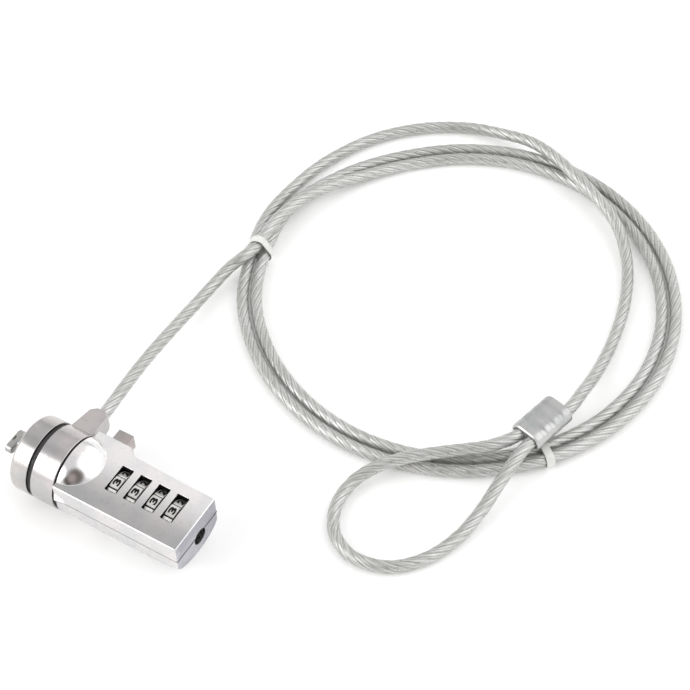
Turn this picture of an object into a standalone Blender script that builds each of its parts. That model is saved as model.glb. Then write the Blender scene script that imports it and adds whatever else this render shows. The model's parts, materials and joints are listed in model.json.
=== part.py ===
"""Laptop cable lock: a lock head with four number dials, and a coiled wire rope with a crimped eye.

All sizes are in millimetres and are scaled to metres when an object is made. Lock pieces are drawn about the
lock's own axis: X runs along it from the T-bar to the reset hole, with X = 0 at the rear washer, Y points to
the button's side and Z up. Cable pieces use the same X and Y, with Z measured from the surface they lie on.
"""

import math

import bmesh
import bpy
from mathutils import Matrix, Vector
from mathutils.geometry import convex_hull_2d

MM = 0.001

# Drum end, turned about the lock's axis
DRUM_R = 11.0
CAP_X = (-14.8, -9.05)
CAP_WALL = 1.5
CAP_ROUNDING = 1.2
FRONT_WASHER_X = (-8.9, -7.8)
RING_X = (-7.65, -0.35)
REAR_WASHER_X = (-0.25, 0.25)
WASHER_R = (5.65, 10.5)
HUB_R = 5.5
HUB_SPIGOT_R = 4.0
HUB_FLANGE_R = 6.9
RUNNING_GAP = 0.1

# Lug of the swivel ring
LUG_X, LUG_Z = -4.0, 3.0
LUG_BASE_Y, LUG_TIP_Y = 8.0, 17.5
LUG_HALF_WIDTH = (3.5, 2.75)
LUG_TOP_Z = (6.9, 5.6)
LUG_BOTTOM_Z = (-1.0, 0.4)
LUG_BORE_R = 1.95
STOP_BORE_R, STOP_BORE_Y = 2.5, 10.5

# Case: flat top, straight walls above the bottom's curve
CASE_X = (0.35, 39.6)
NEAR_Y, FAR_Y, SHOULDER_Y = -10.3, 8.2, 10.5
SHOULDER_END_X, DIAL_ZONE_X = 11.3, 12.6
TOP_Z, CEILING_Z = 6.9, 5.9
WALL_LOW_Z = -1.5
PARTING_Z, PARTING_GAP = 1.2, 0.1
BELLY_Z, END_BOTTOM_Z, BELLY_END_X = -11.0, -4.6, 28.5
BAY_R, BAY_X = 7.2, (2.55, 34.9)
EDGE_BEVEL = 0.45

# Dials and what runs through them
DIAL_COUNT, DIAL_1_X, DIAL_PITCH = 4, 14.3, 5.9
DIAL_R, DIAL_WIDTH, DIGITS = 6.5, 3.5, 10
WINDOW_X, WINDOW_Y = 3.7, (-3.55, 4.75)
SLEEVE_R, SLEEVE_BORE_R, SLEEVE_LENGTH = 3.6, 2.35, 4.6
GATE_R, GATE_WALL = 1.75, 0.6
KEY_HALF_WIDTH, KEY_TOP = 0.6, 4.4
SPINDLE_R, SPINDLE_X = 1.5, (8.9, 33.6)
SPINDLE_TAIL_R, SPINDLE_TAIL_X = 0.8, 35.0
RESET_BORE_R, RESET_SCREW_R, RESET_SCREW_X = 2.45, 2.25, (36.1, 37.7)

# T-bar, turned by the button's rack: a quarter turn for a quarter of the pitch circle
T_NECK_R, T_SHAFT_R, T_BORE_R = 1.4, 1.2, 1.5
T_HEAD_X, T_HEAD_HALF_LENGTH, T_HEAD_HALF_WIDTH = (-22.0, -19.9), 3.8, 1.35
T_GROOVE_X, T_SHAFT_X = (3.9, 4.5), (5.1, 8.1)
PRONG_X, PRONG_HALF_WIDTH, PRONG_Z = -17.4, 1.3, (1.75, 3.3)
PINION_TEETH, PINION_R, PRESSURE = 8, 2.3, math.radians(30)
ADDENDUM, DEDENDUM, BACKLASH = 0.4, 0.58, 0.04
PINION_X, PINION_BORE_R = (5.2, 7.9), 1.27
TOOTH_PITCH = 2 * math.pi * PINION_R / PINION_TEETH

# Release button
STEM_X, STEM_Y, STEM_TOP_Z = (5.2, 8.2), (-2.2, 8.2), 4.75
BLOCK_X, BLOCK_Y, BLOCK_Z = (4.35, 9.05), (8.4, 14.6), (1.4, 6.1)
FLANGE_X, FLANGE_Y, FLANGE_Z = (3.9, 9.5), (7.8, 8.8), (1.4, 5.7)
WEDGE_START_Y, WEDGE_END_Y, WEDGE_SLOPE = 0.2, 4.0, 0.25

# Case screws: centre in plan
SCREWS = [(12.4, -8.6), (36.6, -6.5), (36.6, 5.0)]
SCREW_SHANK_R, SCREW_HEAD_R, SCREW_HEAD_Z, SCREW_TIP_Z = 0.7, 1.25, -3.7, 4.2

# Cable: one length of coated wire rope, wound twice side by side and once loosely
CABLE_D = 3.6
COIL_X, COIL_Y, COIL_R, STRAND_GAP = 55.4, 113.9, 61.4, 4.1
TIE_1_ANGLE, TIE_2_ANGLE = 194.2, -39.2
COIL_BULGES = [(TIE_1_ANGLE, 30, 2.0), (138, 35, -2.6)]
TIE_WALL, TIE_CLEARANCE, TIE_WIDTH = 0.3, 0.4, 2.4
TIED_Z = CABLE_D / 2 + TIE_CLEARANCE + TIE_WALL
LYING_Z = CABLE_D / 2 + 0.05
NESTED_Z = TIED_Z + 3.45
STEPS_TIE_TO_TIE, STEPS_ON = 12, 7
FERRULE_END, FERRULE_ANGLE, FERRULE_LENGTH = (97.5, 73.1), 76.0, 14.5
FERRULE_Z, FERRULE_BORE_R, FERRULE_BORE_OFFSET, FERRULE_R = 8.0, 1.98, 2.15, 2.85

# The lock's box is centred on the world origin in X and Y, and stands on Z = 0
LOCK_AXIS = (-(T_HEAD_X[0] + CASE_X[1]) / 2, (DRUM_R - LUG_TIP_Y) / 2, DRUM_R)


# ---------------------------------------------------------------- scene and looks


def clear_scene():
    for obj in list(bpy.data.objects):
        bpy.data.objects.remove(obj)


def look(name, colour, roughness, metallic):
    made = bpy.data.materials.new(name)
    made.use_nodes = True
    shader = made.node_tree.nodes["Principled BSDF"]
    shader.inputs["Base Color"].default_value = (*colour, 1.0)
    shader.inputs["Roughness"].default_value = roughness
    shader.inputs["Metallic"].default_value = metallic
    return made


def empty(name, place):
    made = bpy.data.objects.new(name, None)
    made.empty_display_size = 10 * MM
    made.location = Vector(place) * MM
    bpy.context.scene.collection.objects.link(made)
    return made


def piece(name, shape, material, parent, origin=(0, 0, 0)):
    """One named object from a bmesh in millimetres, with its origin at the given point of its parent."""
    bmesh.ops.translate(shape, vec=-Vector(origin), verts=shape.verts)
    bmesh.ops.scale(shape, vec=(MM, MM, MM), verts=shape.verts)
    bmesh.ops.recalc_face_normals(shape, faces=shape.faces)
    mesh = bpy.data.meshes.new(name)
    shape.to_mesh(mesh)
    shape.free()
    mesh.materials.append(material)
    mesh.shade_smooth()
    mesh.set_sharp_from_angle(angle=math.radians(30))
    made = bpy.data.objects.new(name, mesh)
    made.location = Vector(origin) * MM
    made.parent = parent
    bpy.context.scene.collection.objects.link(made)
    return made


def combine(target, shape, operation):
    """Adds a Boolean with a hidden helper made from the shape, which is drawn in the target's parent's frame."""
    label = f"{target.name}_{operation.lower()}_{len(target.modifiers) + 1}"
    helper = piece(label, shape, target.data.materials[0], target.parent, target.location / MM)
    helper.hide_render = True
    helper.display_type = "WIRE"
    modifier = target.modifiers.new(label, "BOOLEAN")
    modifier.operation = operation
    modifier.object = helper
    modifier.solver = "EXACT"


def cut(target, *shapes):
    for shape in shapes:
        combine(target, shape, "DIFFERENCE")


def join(target, *shapes):
    for shape in shapes:
        combine(target, shape, "UNION")


# ---------------------------------------------------------------- shapes


def place(axis, along, u, v):
    """A point that is `along` the axis, with the other two coordinates u and v in X, Y, Z order."""
    return {"X": (along, u, v), "Y": (u, along, v), "Z": (u, v, along)}[axis]


def loft(loops):
    """A closed solid through loops of points that all have the same count."""
    shape = bmesh.new()
    rings = [[shape.verts.new(point) for point in loop] for loop in loops]
    shape.faces.new(rings[0])
    shape.faces.new(rings[-1])
    for first, second in zip(rings, rings[1:]):
        for i in range(len(first)):
            j = (i + 1) % len(first)
            shape.faces.new((first[i], first[j], second[j], second[i]))
    return shape


def prism(axis, span, outline):
    return loft([[place(axis, along, u, v) for u, v in outline] for along in span])


def box(x, y, z):
    return prism("Z", z, [(x[0], y[0]), (x[1], y[0]), (x[1], y[1]), (x[0], y[1])])


def arc(centre, radius, start, end, steps):
    angles = [math.radians(start + (end - start) * i / steps) for i in range(steps + 1)]
    return [(centre[0] + radius * math.cos(a), centre[1] + radius * math.sin(a)) for a in angles]


def circle(radius, steps, centre=(0, 0)):
    return arc(centre, radius, 0, 360, steps)[:-1]


def rod(axis, span, radius, centre=(0, 0), steps=32):
    return prism(axis, span, circle(radius, steps, centre))


def turned(profile, steps=48):
    """A closed outline of (x, radius) points turned about the X axis. Radius 0 lies on the axis."""
    shape = bmesh.new()
    rings = []
    for x, radius in profile:
        points = circle(radius, steps) if radius else [(0, 0)]
        rings.append([shape.verts.new((x, y, z)) for y, z in points])
    for first, second in zip(rings, rings[1:] + rings[:1]):
        if len(first) == len(second) == 1:
            continue
        for i in range(steps):
            j = (i + 1) % steps
            corners = [first[i % len(first)], first[j % len(first)]]
            corners += [second[j % len(second)], second[i % len(second)]]
            shape.faces.new(dict.fromkeys(corners))
    return shape


def keyed_circle(radius, half_width, top, steps=24):
    """A circle with a rectangular key at the top."""
    start = math.degrees(math.acos(half_width / radius))
    round_part = arc((0, 0), radius, 180 - start, 360 + start, steps)
    return round_part + [(half_width, top), (-half_width, top)]


def tooth_outline():
    """Outline of the pinion in Y and Z: involute teeth, with a tooth space at the top."""
    base = PINION_R * math.cos(PRESSURE)

    def involute(radius):
        angle = math.acos(min(base / radius, 1.0))
        return math.tan(angle) - angle

    half_at_pitch = math.pi / (2 * PINION_TEETH) - BACKLASH / (2 * PINION_R)
    radii = [base, (base + PINION_R) / 2, PINION_R, PINION_R + ADDENDUM / 2, PINION_R + ADDENDUM]
    halves = [half_at_pitch + involute(PINION_R) - involute(radius) for radius in radii]
    flank = [(PINION_R - DEDENDUM, halves[0])] + list(zip(radii, halves))
    outline = []
    for tooth in range(PINION_TEETH):
        middle = math.pi / 2 + (tooth + 0.5) * 2 * math.pi / PINION_TEETH
        for radius, half in flank:
            outline.append((radius * math.cos(middle - half), radius * math.sin(middle - half)))
        for radius, half in reversed(flank):
            outline.append((radius * math.cos(middle + half), radius * math.sin(middle + half)))
    return outline


def rack_outline():
    """The button's stem in Y and Z, with rack teeth on its underside."""
    slope = math.tan(PRESSURE)
    half = TOOTH_PITCH / 4 - BACKLASH / 2
    tip, root = PINION_R - ADDENDUM, PINION_R + DEDENDUM
    under = [(STEM_Y[0], root)]
    for tooth in range(-1, 4):
        middle = tooth * TOOTH_PITCH
        under += [(middle - half - DEDENDUM * slope, root), (middle - half + ADDENDUM * slope, tip)]
        under += [(middle + half - ADDENDUM * slope, tip), (middle + half + DEDENDUM * slope, root)]
    under[0] = (min(under[0][0], under[1][0] - 0.1), root)
    return under + [(STEM_Y[1], root), (STEM_Y[1], STEM_TOP_Z), (under[0][0], STEM_TOP_Z)]


def coil_spring(name, axis, span, centre, radius, wire_r, turns, material, parent):
    """An open helical spring, as a curve with a round bevel."""
    curve = bpy.data.curves.new(name, "CURVE")
    curve.dimensions = "3D"
    curve.bevel_depth = wire_r * MM
    curve.bevel_resolution = 0
    curve.use_fill_caps = True
    curve.materials.append(material)
    count = turns * 12
    spline = curve.splines.new("POLY")
    spline.points.add(count)
    for i, point in enumerate(spline.points):
        turn = 2 * math.pi * i / 12
        along = span[0] + (span[1] - span[0]) * i / count
        u, v = centre[0] + radius * math.cos(turn), centre[1] + radius * math.sin(turn)
        point.co = (*(Vector(place(axis, along, u, v)) * MM), 1.0)
    made = bpy.data.objects.new(name, curve)
    made.parent = parent
    bpy.context.scene.collection.objects.link(made)
    return made


# ---------------------------------------------------------------- drum end


def make_end_cap(metal, lock):
    face, back = CAP_X
    rounding = arc((face + CAP_ROUNDING, DRUM_R - CAP_ROUNDING), CAP_ROUNDING, 90, 180, 4)
    pocket_r = HUB_SPIGOT_R + RUNNING_GAP
    profile = [(back, pocket_r), (back, DRUM_R), *rounding, (face, 0)]
    profile += [(face + CAP_WALL, 0), (face + CAP_WALL, pocket_r)]
    cap = piece("end_cap", turned(profile), metal, lock)
    slot = (PRONG_HALF_WIDTH + 0.15, PRONG_Z[1] + 0.15)
    cut(cap, box((face - 1, face + CAP_WALL + 0.5), (-slot[0], slot[0]), (-slot[1], slot[1])))


def make_slot_guide(metal, lock):
    disc = (CAP_X[0] + CAP_WALL + RUNNING_GAP, -12.15)
    profile = [(disc[0], T_BORE_R), (disc[0], 3.9), (disc[1], 3.9), (disc[1], T_BORE_R)]
    guide = piece("slot_guide", turned(profile, 32), metal, lock)
    for side in (1, -1):
        z = sorted((side * PRONG_Z[0], side * PRONG_Z[1]))
        join(guide, box((PRONG_X, disc[1] - 0.4), (-PRONG_HALF_WIDTH, PRONG_HALF_WIDTH), z))


def make_hub(metal, lock):
    shoulder, flange = CAP_X[1] + RUNNING_GAP, (BAY_X[0] + RUNNING_GAP, BAY_X[0] + 1.05)
    profile = [(-12.0, T_BORE_R), (-12.0, HUB_SPIGOT_R), (shoulder, HUB_SPIGOT_R), (shoulder, HUB_R)]
    profile += [(flange[0], HUB_R), (flange[0], HUB_FLANGE_R), (flange[1], HUB_FLANGE_R), (flange[1], T_BORE_R)]
    hub = piece("hub", turned(profile), metal, lock)
    cut(hub, box((BAY_X[0], BAY_X[0] + 3), (-8, 8), (CEILING_Z - RUNNING_GAP, 8)))


def make_washer(name, span, nylon, lock):
    inner, outer = WASHER_R
    profile = [(span[0], inner), (span[0], outer), (span[1], outer), (span[1], inner)]
    piece(name, turned(profile), nylon, lock)


def make_swivel_ring(metal, lock):
    left, right = RING_X
    bore, edge = HUB_R + RUNNING_GAP, 0.25
    profile = [(left, bore), (left, DRUM_R - edge), (left + edge, DRUM_R)]
    profile += [(right - edge, DRUM_R), (right, DRUM_R - edge), (right, bore)]
    ring = piece("swivel_ring", turned(profile, 64), metal, lock)
    wide, narrow = LUG_HALF_WIDTH
    corner = 0.8
    inset = LUG_BASE_Y - 1.0
    tip_right = arc((LUG_X + narrow - corner, LUG_TIP_Y - corner), corner, 0, 90, 3)
    tip_left = arc((LUG_X - narrow + corner, LUG_TIP_Y - corner), corner, 90, 180, 3)
    plan = [(LUG_X + wide, inset), (LUG_X + wide, LUG_BASE_Y), *tip_right, *tip_left]
    plan += [(LUG_X - wide, LUG_BASE_Y), (LUG_X - wide, inset)]

    def height(y, ends):
        return ends[0] + (ends[1] - ends[0]) * (y - LUG_BASE_Y) / (LUG_TIP_Y - LUG_BASE_Y)

    levels = [[(x, y, height(y, ends)) for x, y in plan] for ends in (LUG_BOTTOM_Z, LUG_TOP_Z)]
    join(ring, loft(levels))
    cut(ring, rod("Y", (STOP_BORE_Y - 0.5, LUG_TIP_Y + 2), LUG_BORE_R, (LUG_X, LUG_Z), 24))
    cut(ring, rod("Y", (3.0, STOP_BORE_Y), STOP_BORE_R, (LUG_X, LUG_Z), 24))


def make_cable_stop(metal, lock):
    piece("cable_stop", rod("Y", (6.4, STOP_BORE_Y - 0.3), 2.35, (LUG_X, LUG_Z), 24), metal, lock)


# ---------------------------------------------------------------- T-bar train


def make_t_bar(steel, lock):
    neck_start = T_HEAD_X[0] + 0.7
    groove, shaft = T_GROOVE_X, T_SHAFT_X
    profile = [(neck_start, 0), (neck_start, T_NECK_R), (groove[0], T_NECK_R), (groove[0], 1.0)]
    profile += [(groove[1], 1.0), (groove[1], T_NECK_R), (shaft[0], T_NECK_R), (shaft[0], T_SHAFT_R)]
    profile += [(shaft[1], T_SHAFT_R), (shaft[1], 0)]
    bar = piece("t_bar", turned(profile, 24), steel, lock)
    centre = T_HEAD_HALF_LENGTH - T_HEAD_HALF_WIDTH
    ends = arc((centre, 0), T_HEAD_HALF_WIDTH, -90, 90, 6) + arc((-centre, 0), T_HEAD_HALF_WIDTH, 90, 270, 6)
    join(bar, prism("X", T_HEAD_X, ends))


def make_retaining_clip(steel, lock):
    outline = arc((0, 0), 2.3, 40, 320, 18) + arc((0, 0), 1.06, 320, 40, 18)
    piece("retaining_clip", prism("X", (3.95, 4.45), outline), steel, lock)


def make_pinion(brass, lock):
    pinion = piece("pinion", prism("X", PINION_X, tooth_outline()), brass, lock)
    cut(pinion, rod("X", (PINION_X[0] - 1, PINION_X[1] + 1), PINION_BORE_R, steps=24))


def make_release_button(metal, lock):
    button = piece("release_button", prism("X", STEM_X, rack_outline()), metal, lock)
    join(button, box(FLANGE_X, FLANGE_Y, FLANGE_Z), box(BLOCK_X, BLOCK_Y, BLOCK_Z))
    far_x = STEM_X[1] + WEDGE_SLOPE * (WEDGE_END_Y - WEDGE_START_Y)
    inside = STEM_X[1] - 0.3
    wedge = [(inside, WEDGE_START_Y), (STEM_X[1], WEDGE_START_Y), (far_x, WEDGE_END_Y), (inside, WEDGE_END_Y)]
    join(button, prism("Z", (3.05, 4.6), wedge))


def make_spindle(steel, lock):
    left, right = SPINDLE_X
    profile = [(left, 0), (left, SPINDLE_R), (right, SPINDLE_R), (right, SPINDLE_TAIL_R)]
    profile += [(SPINDLE_TAIL_X, SPINDLE_TAIL_R), (SPINDLE_TAIL_X, 0)]
    spindle = piece("spindle", turned(profile, 24), steel, lock)
    near_x = STEM_X[1] + 0.15
    ramp_y = WEDGE_START_Y + 0.8
    arm = [(near_x, -1.0), (near_x, WEDGE_START_Y), (near_x + WEDGE_SLOPE * 0.8, ramp_y)]
    arm += [(near_x + 1.1, ramp_y), (near_x + 1.1, -1.0)]
    join(spindle, prism("Z", (-1.45, 4.4), arm))
    for middle in dial_places():
        join(spindle, box((middle - 0.9, middle - 0.3), (-0.35, 0.35), (1.0, 2.15)))


# ---------------------------------------------------------------- case and dials


def dial_places():
    return [DIAL_1_X + DIAL_PITCH * number for number in range(DIAL_COUNT)]


def bay_outline():
    """The inside of the case in Y and Z: round, with a flat ceiling."""
    side = math.degrees(math.asin(CEILING_Z / BAY_R))
    return arc((0, 0), BAY_R, 180 - side, 360 + side, 36)


def cut_cavities(shell):
    cut(shell, prism("X", BAY_X, bay_outline()))
    cut(shell, rod("X", (CASE_X[0] - 1, BAY_X[0] + 0.5), HUB_R + RUNNING_GAP, steps=48))
    cut(shell, rod("X", (BAY_X[1] - 0.5, CASE_X[1] + 1), RESET_BORE_R, steps=24))


def make_upper_case(metal, lock):
    left, right = CASE_X
    bottom = PARTING_Z + PARTING_GAP / 2
    plan = [(left, NEAR_Y), (right, NEAR_Y), (right, FAR_Y), (DIAL_ZONE_X, FAR_Y)]
    plan += [(SHOULDER_END_X, SHOULDER_Y), (left, SHOULDER_Y)]
    shape = prism("Z", (bottom, TOP_Z), plan)
    top_edges = [edge for edge in shape.edges if all(v.co.z > TOP_Z - 0.1 for v in edge.verts)
                 and any(v.co.x > left + 0.1 for v in edge.verts)]
    bmesh.ops.bevel(shape, geom=top_edges, offset=EDGE_BEVEL, segments=1, affect="EDGES")
    case = piece("upper_case", shape, metal, lock)
    dome = turned([(left, 0), *dome_profile()], 48)
    bmesh.ops.bisect_plane(dome, geom=dome.verts[:] + dome.edges[:] + dome.faces[:], plane_co=(0, 0, bottom),
                           plane_no=(0, 0, -1), clear_outer=True)
    bmesh.ops.holes_fill(dome, edges=[e for e in dome.edges if e.is_boundary])
    join(case, dome)
    cut_cavities(case)
    low, high = bottom - 1, CEILING_Z - 0.3
    cut(case, box((STEM_X[0] - 0.2, STEM_X[1] + 0.3), (-9.0, 6.0), (low, high)))
    cut(case, box((FLANGE_X[0] - 0.1, FLANGE_X[1] + 0.1), (3.6, 8.9), (low, CEILING_Z - 0.05)))
    cut(case, box((BLOCK_X[0] - 0.1, BLOCK_X[1] + 0.1), (4.4, 12.0), (low, BLOCK_Z[1] + 0.15)))
    for middle in dial_places():
        cut(case, box((middle - WINDOW_X / 2, middle + WINDOW_X / 2), WINDOW_Y, (CEILING_Z - 1.4, TOP_Z + 1)))
    for x, y in SCREWS:
        cut(case, rod("Z", (low, SCREW_TIP_Z + 0.4), SCREW_SHANK_R + RUNNING_GAP, (x, y), 12))


def dome_profile():
    """Quarter circle from the front of the case: (x, radius), from the rim to the tip on the axis."""
    start = math.degrees(math.asin(CASE_X[0] / DRUM_R))
    return [(y, x) for x, y in arc((0, 0), DRUM_R, start, 85, 9)] + [(DRUM_R, 0)]


def case_bottom(x):
    """Height of the lowest line of the case: level under the belly, rising on an ellipse to the end."""
    along = max(0.0, (x - BELLY_END_X) / (CASE_X[1] - BELLY_END_X))
    return END_BOTTOM_Z + (BELLY_Z - END_BOTTOM_Z) * math.sqrt(max(0.0, 1 - along * along))


def lower_section(x, far):
    """Outline of the lower case at x: straight walls under the parting line, then half an ellipse."""
    top, middle, half = PARTING_Z - PARTING_GAP / 2, (NEAR_Y + far) / 2, (far - NEAR_Y) / 2
    depth = WALL_LOW_Z - case_bottom(x)
    curve = [math.pi * i / 16 for i in range(17)]
    bottom = [(x, middle + half * math.cos(a), WALL_LOW_Z - depth * math.sin(a)) for a in curve]
    return [(x, NEAR_Y, top), (x, far, top), *bottom]


def make_lower_case(metal, lock):
    stations = [(CASE_X[0], SHOULDER_Y), (SHOULDER_END_X, SHOULDER_Y), (DIAL_ZONE_X, FAR_Y)]
    rise = [BELLY_END_X + (CASE_X[1] - BELLY_END_X) * math.sin(math.radians(a)) for a in (0, 20, 38, 54, 68, 80, 90)]
    stations += [(x, FAR_Y) for x in rise]
    case = piece("lower_case", loft([lower_section(x, far) for x, far in stations]), metal, lock)
    cut_cavities(case)
    for x, y in SCREWS:
        cut(case, rod("Z", (BELLY_Z - 1, SCREW_HEAD_Z + 0.1), SCREW_HEAD_R + RUNNING_GAP, (x, y), 16))
        cut(case, rod("Z", (SCREW_HEAD_Z - 0.5, PARTING_Z + 1), SCREW_SHANK_R + RUNNING_GAP, (x, y), 12))


def make_case_screws(steel, lock):
    for number, (x, y) in enumerate(SCREWS, 1):
        head = SCREW_HEAD_Z - 0.8
        profile = [(head, 0), (head, SCREW_HEAD_R), (SCREW_HEAD_Z, SCREW_HEAD_R), (SCREW_HEAD_Z, SCREW_SHANK_R)]
        profile += [(SCREW_TIP_Z, SCREW_SHANK_R), (SCREW_TIP_Z, 0)]
        shape = turned(profile, 12)
        bmesh.ops.rotate(shape, matrix=Matrix.Rotation(math.radians(-90), 3, "Y"), verts=shape.verts)
        bmesh.ops.translate(shape, vec=(x, y, 0), verts=shape.verts)
        screw = piece(f"case_screw_{number}", shape, steel, lock)
        cut(screw, box((x - 2, x + 2), (y - 0.2, y + 0.2), (head - 1, head + 0.35)))


def dial_outline():
    """Outline of a dial: a pad for each digit, with a narrow groove between pads. A pad is at the top."""
    outline = []
    for digit in range(DIGITS):
        middle = 90 + 360 / DIGITS * digit
        for offset, radius in ((-14.5, DIAL_R), (0, DIAL_R), (14.5, DIAL_R), (180 / DIGITS, DIAL_R - 0.5)):
            angle = math.radians(middle + offset)
            outline.append((radius * math.cos(angle), radius * math.sin(angle)))
    return outline


def make_dials(steel, brass, lock):
    for number, middle in enumerate(dial_places(), 1):
        span = (middle - DIAL_WIDTH / 2, middle + DIAL_WIDTH / 2)
        dial = piece(f"dial_{number}", prism("X", span, dial_outline()), steel, lock, (middle, 0, 0))
        bore = keyed_circle(SLEEVE_R + 0.15, KEY_HALF_WIDTH + 0.15, KEY_TOP + 0.15)
        cut(dial, prism("X", (span[0] - 1, span[1] + 1), bore))
        ends = (middle - SLEEVE_LENGTH / 2, middle + SLEEVE_LENGTH / 2)
        outside = keyed_circle(SLEEVE_R, KEY_HALF_WIDTH, KEY_TOP)
        sleeve = piece(f"clutch_sleeve_{number}", prism("X", ends, outside), brass, lock, (middle, 0, 0))
        cut(sleeve, rod("X", (ends[0] - 1, ends[1] - GATE_WALL), SLEEVE_BORE_R, steps=24))
        cut(sleeve, prism("X", (ends[0], ends[1] + 1), keyed_circle(GATE_R, 0.5, SLEEVE_BORE_R + 0.1, 18)))


def make_dividers(nylon, lock):
    for number, middle in enumerate(dial_places()[:-1], 1):
        span = (middle + DIAL_PITCH / 2 - 0.35, middle + DIAL_PITCH / 2 + 0.35)
        profile = [(span[0], 1.65), (span[0], 5.0), (span[1], 5.0), (span[1], 1.65)]
        divider = piece(f"divider_{number}", turned(profile, 24), nylon, lock)
        join(divider, box((span[0] + 0.1, span[1] - 0.1), (-1.2, 1.2), (-6.5, -4.4)))


def make_click_spring(steel, lock):
    left, right, bottom, top = 11.8, 34.4, -7.0, -6.8
    outline = [(left, bottom), (left, top)]
    for middle in dial_places():
        outline += [(middle - 1.5, top), (middle - 1.1, top + 0.2), (middle + 1.1, top + 0.2), (middle + 1.5, top)]
    outline += [(right, top), (right, bottom)]
    piece("click_spring", prism("Y", (-1.2, 1.2), outline), steel, lock)


def make_reset_screw(steel, lock):
    left, right = RESET_SCREW_X
    screw = piece("reset_screw", rod("X", (left, right), RESET_SCREW_R, steps=24), steel, lock)
    cut(screw, box((right - 0.8, right + 1), (-3, 3), (-0.4, 0.4)))


# ---------------------------------------------------------------- cable


def polar(radius, degrees, height):
    """A point about the coil's centre, in plan, at a height over the surface."""
    angle = math.radians(degrees)
    return (COIL_X + radius * math.cos(angle), COIL_Y + radius * math.sin(angle), height)


def nearness(degrees, middle, spread):
    """1 at one angle of the coil, falling to 0 away from it."""
    away = (degrees - middle + 180) % 360 - 180
    return math.exp(-((away / spread) ** 2))


def on_coil(offset, degrees, height):
    """A point beside the coil's middle line, a circle that bulges at the first tie and is flatter after it."""
    bulge = sum(size * nearness(degrees, angle, spread) for angle, spread, size in COIL_BULGES)
    return polar(COIL_R + bulge + offset, degrees, height)


def strand(offset, degrees):
    """A point of a coiled strand, which is lifted by the thickness of a tie near each tie."""
    lift = max(nearness(degrees, tie, 25) for tie in (TIE_1_ANGLE, TIE_2_ANGLE))
    return on_coil(offset, degrees, LYING_Z + (TIED_Z - LYING_Z) * lift)


def coil_angles(turn):
    """Angles of one turn, which runs clockwise from the first tie and has a point at each tie."""
    to_tie = (TIE_1_ANGLE - TIE_2_ANGLE) / STEPS_TIE_TO_TIE
    onward = (360 - TIE_1_ANGLE + TIE_2_ANGLE) / STEPS_ON
    first = [TIE_1_ANGLE - to_tie * i for i in range(STEPS_TIE_TO_TIE)]
    return [a - 360 * turn for a in first + [TIE_2_ANGLE - onward * i for i in range(STEPS_ON)]]


def coil_points():
    """The two turns that lie side by side. The cable moves one strand outwards after the first tie."""
    side = STRAND_GAP / 2
    first = [strand(-side, angle) for angle in coil_angles(0)[3:]]
    second = []
    for angle in coil_angles(1):
        moved = min(1.0, (TIE_1_ANGLE - 360 - angle) / 25)
        second.append(strand(-side + STRAND_GAP * moved, angle))
    return first + second + [strand(side, TIE_1_ANGLE)]


def ferrule_point(along, side, height=FERRULE_Z):
    """A point on a bore of the crimp: `along` from the end where the eye begins, side -1 or 1 for the bore."""
    angle = math.radians(FERRULE_ANGLE)
    offset = side * FERRULE_BORE_OFFSET
    x = FERRULE_END[0] + along * math.cos(angle) - offset * math.sin(angle)
    y = FERRULE_END[1] + along * math.sin(angle) + offset * math.cos(angle)
    return (x, y, height)


def lead_points():
    """From the lug down to the surface, up over the bundle at the first tie, and down to the coil's inside."""
    lug_z = DRUM_R + LUG_Z
    down = [(LUG_X, STOP_BORE_Y + 0.1, lug_z), (LUG_X, 18.5, lug_z), (-5.0, 27.2, 13.1), (-6.8, 37.2, 10.7)]
    down += [(-8.4, 48.3, 8.0), (-9.4, 59.5, 5.7), (-10.0, 69.7, 3.9), (-9.8, 79.2, 3.6), (-8.6, 86.8, 5.0)]
    side = STRAND_GAP / 2
    first, second, third = coil_angles(0)[:3]
    over = [on_coil(2.4, 199.6, 6.5), on_coil(0, first, NESTED_Z), on_coil(-1.05, (first + second) / 2, 6.5)]
    over += [on_coil(-1.85, second, 6.3), on_coil(-side, (second + third) / 2, 4.9), on_coil(-side, third, 3.1)]
    return down + over


def last_pass_points():
    """Third pass: outside the coil, then across both strands to its inside and the crimp."""
    outside = [(-11.8, 113.0, 2.1), (-11.2, 128.2, 1.9), (-8.3, 142.0, 1.85), (-1.2, 157.4, 1.85)]
    outside += [(9.8, 169.7, 1.85), (22.7, 177.6, 1.9), (35.1, 179.8, 3.2), (45.0, 179.0, 5.3)]
    across = [(54.0, 176.4, 6.1), (63.4, 172.2, 6.2), (73.2, 167.4, 6.0), (83.8, 160.9, 4.4)]
    inside = [(92.8, 149.8, 2.4), (98.8, 135.4, 1.9), (102.0, 120.4, 2.0), (103.3, 107.0, 3.4), (103.6, 96.3, 6.2)]
    return outside + across + inside


def eye_points():
    """Through the crimp, round the eye and back into the crimp."""
    out = [ferrule_point(FERRULE_LENGTH + 2, -1), ferrule_point(FERRULE_LENGTH / 2, -1), ferrule_point(-1.5, -1)]
    round_eye = [(98.4, 64.8, 7.3), (97.8, 57.0, 5.6), (97.2, 48.6, 3.5), (95.5, 39.2, 2.1), (91.6, 29.6, 1.85)]
    round_eye += [(84.4, 22.0, 1.85), (74.7, 19.6, 1.85), (66.5, 23.4, 1.85), (62.2, 30.9, 1.9), (62.2, 38.6, 3.0)]
    round_eye += [(65.4, 45.0, 4.7), (70.6, 50.6, 6.2), (76.7, 55.8, 6.7), (83.1, 60.6, 7.1), (88.9, 64.8, 7.6)]
    round_eye += [(92.5, 68.4, 8.0)]
    back = [ferrule_point(-1.0, 1), ferrule_point(FERRULE_LENGTH / 2, 1), ferrule_point(FERRULE_LENGTH - 2, 1)]
    return out + round_eye + back


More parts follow.
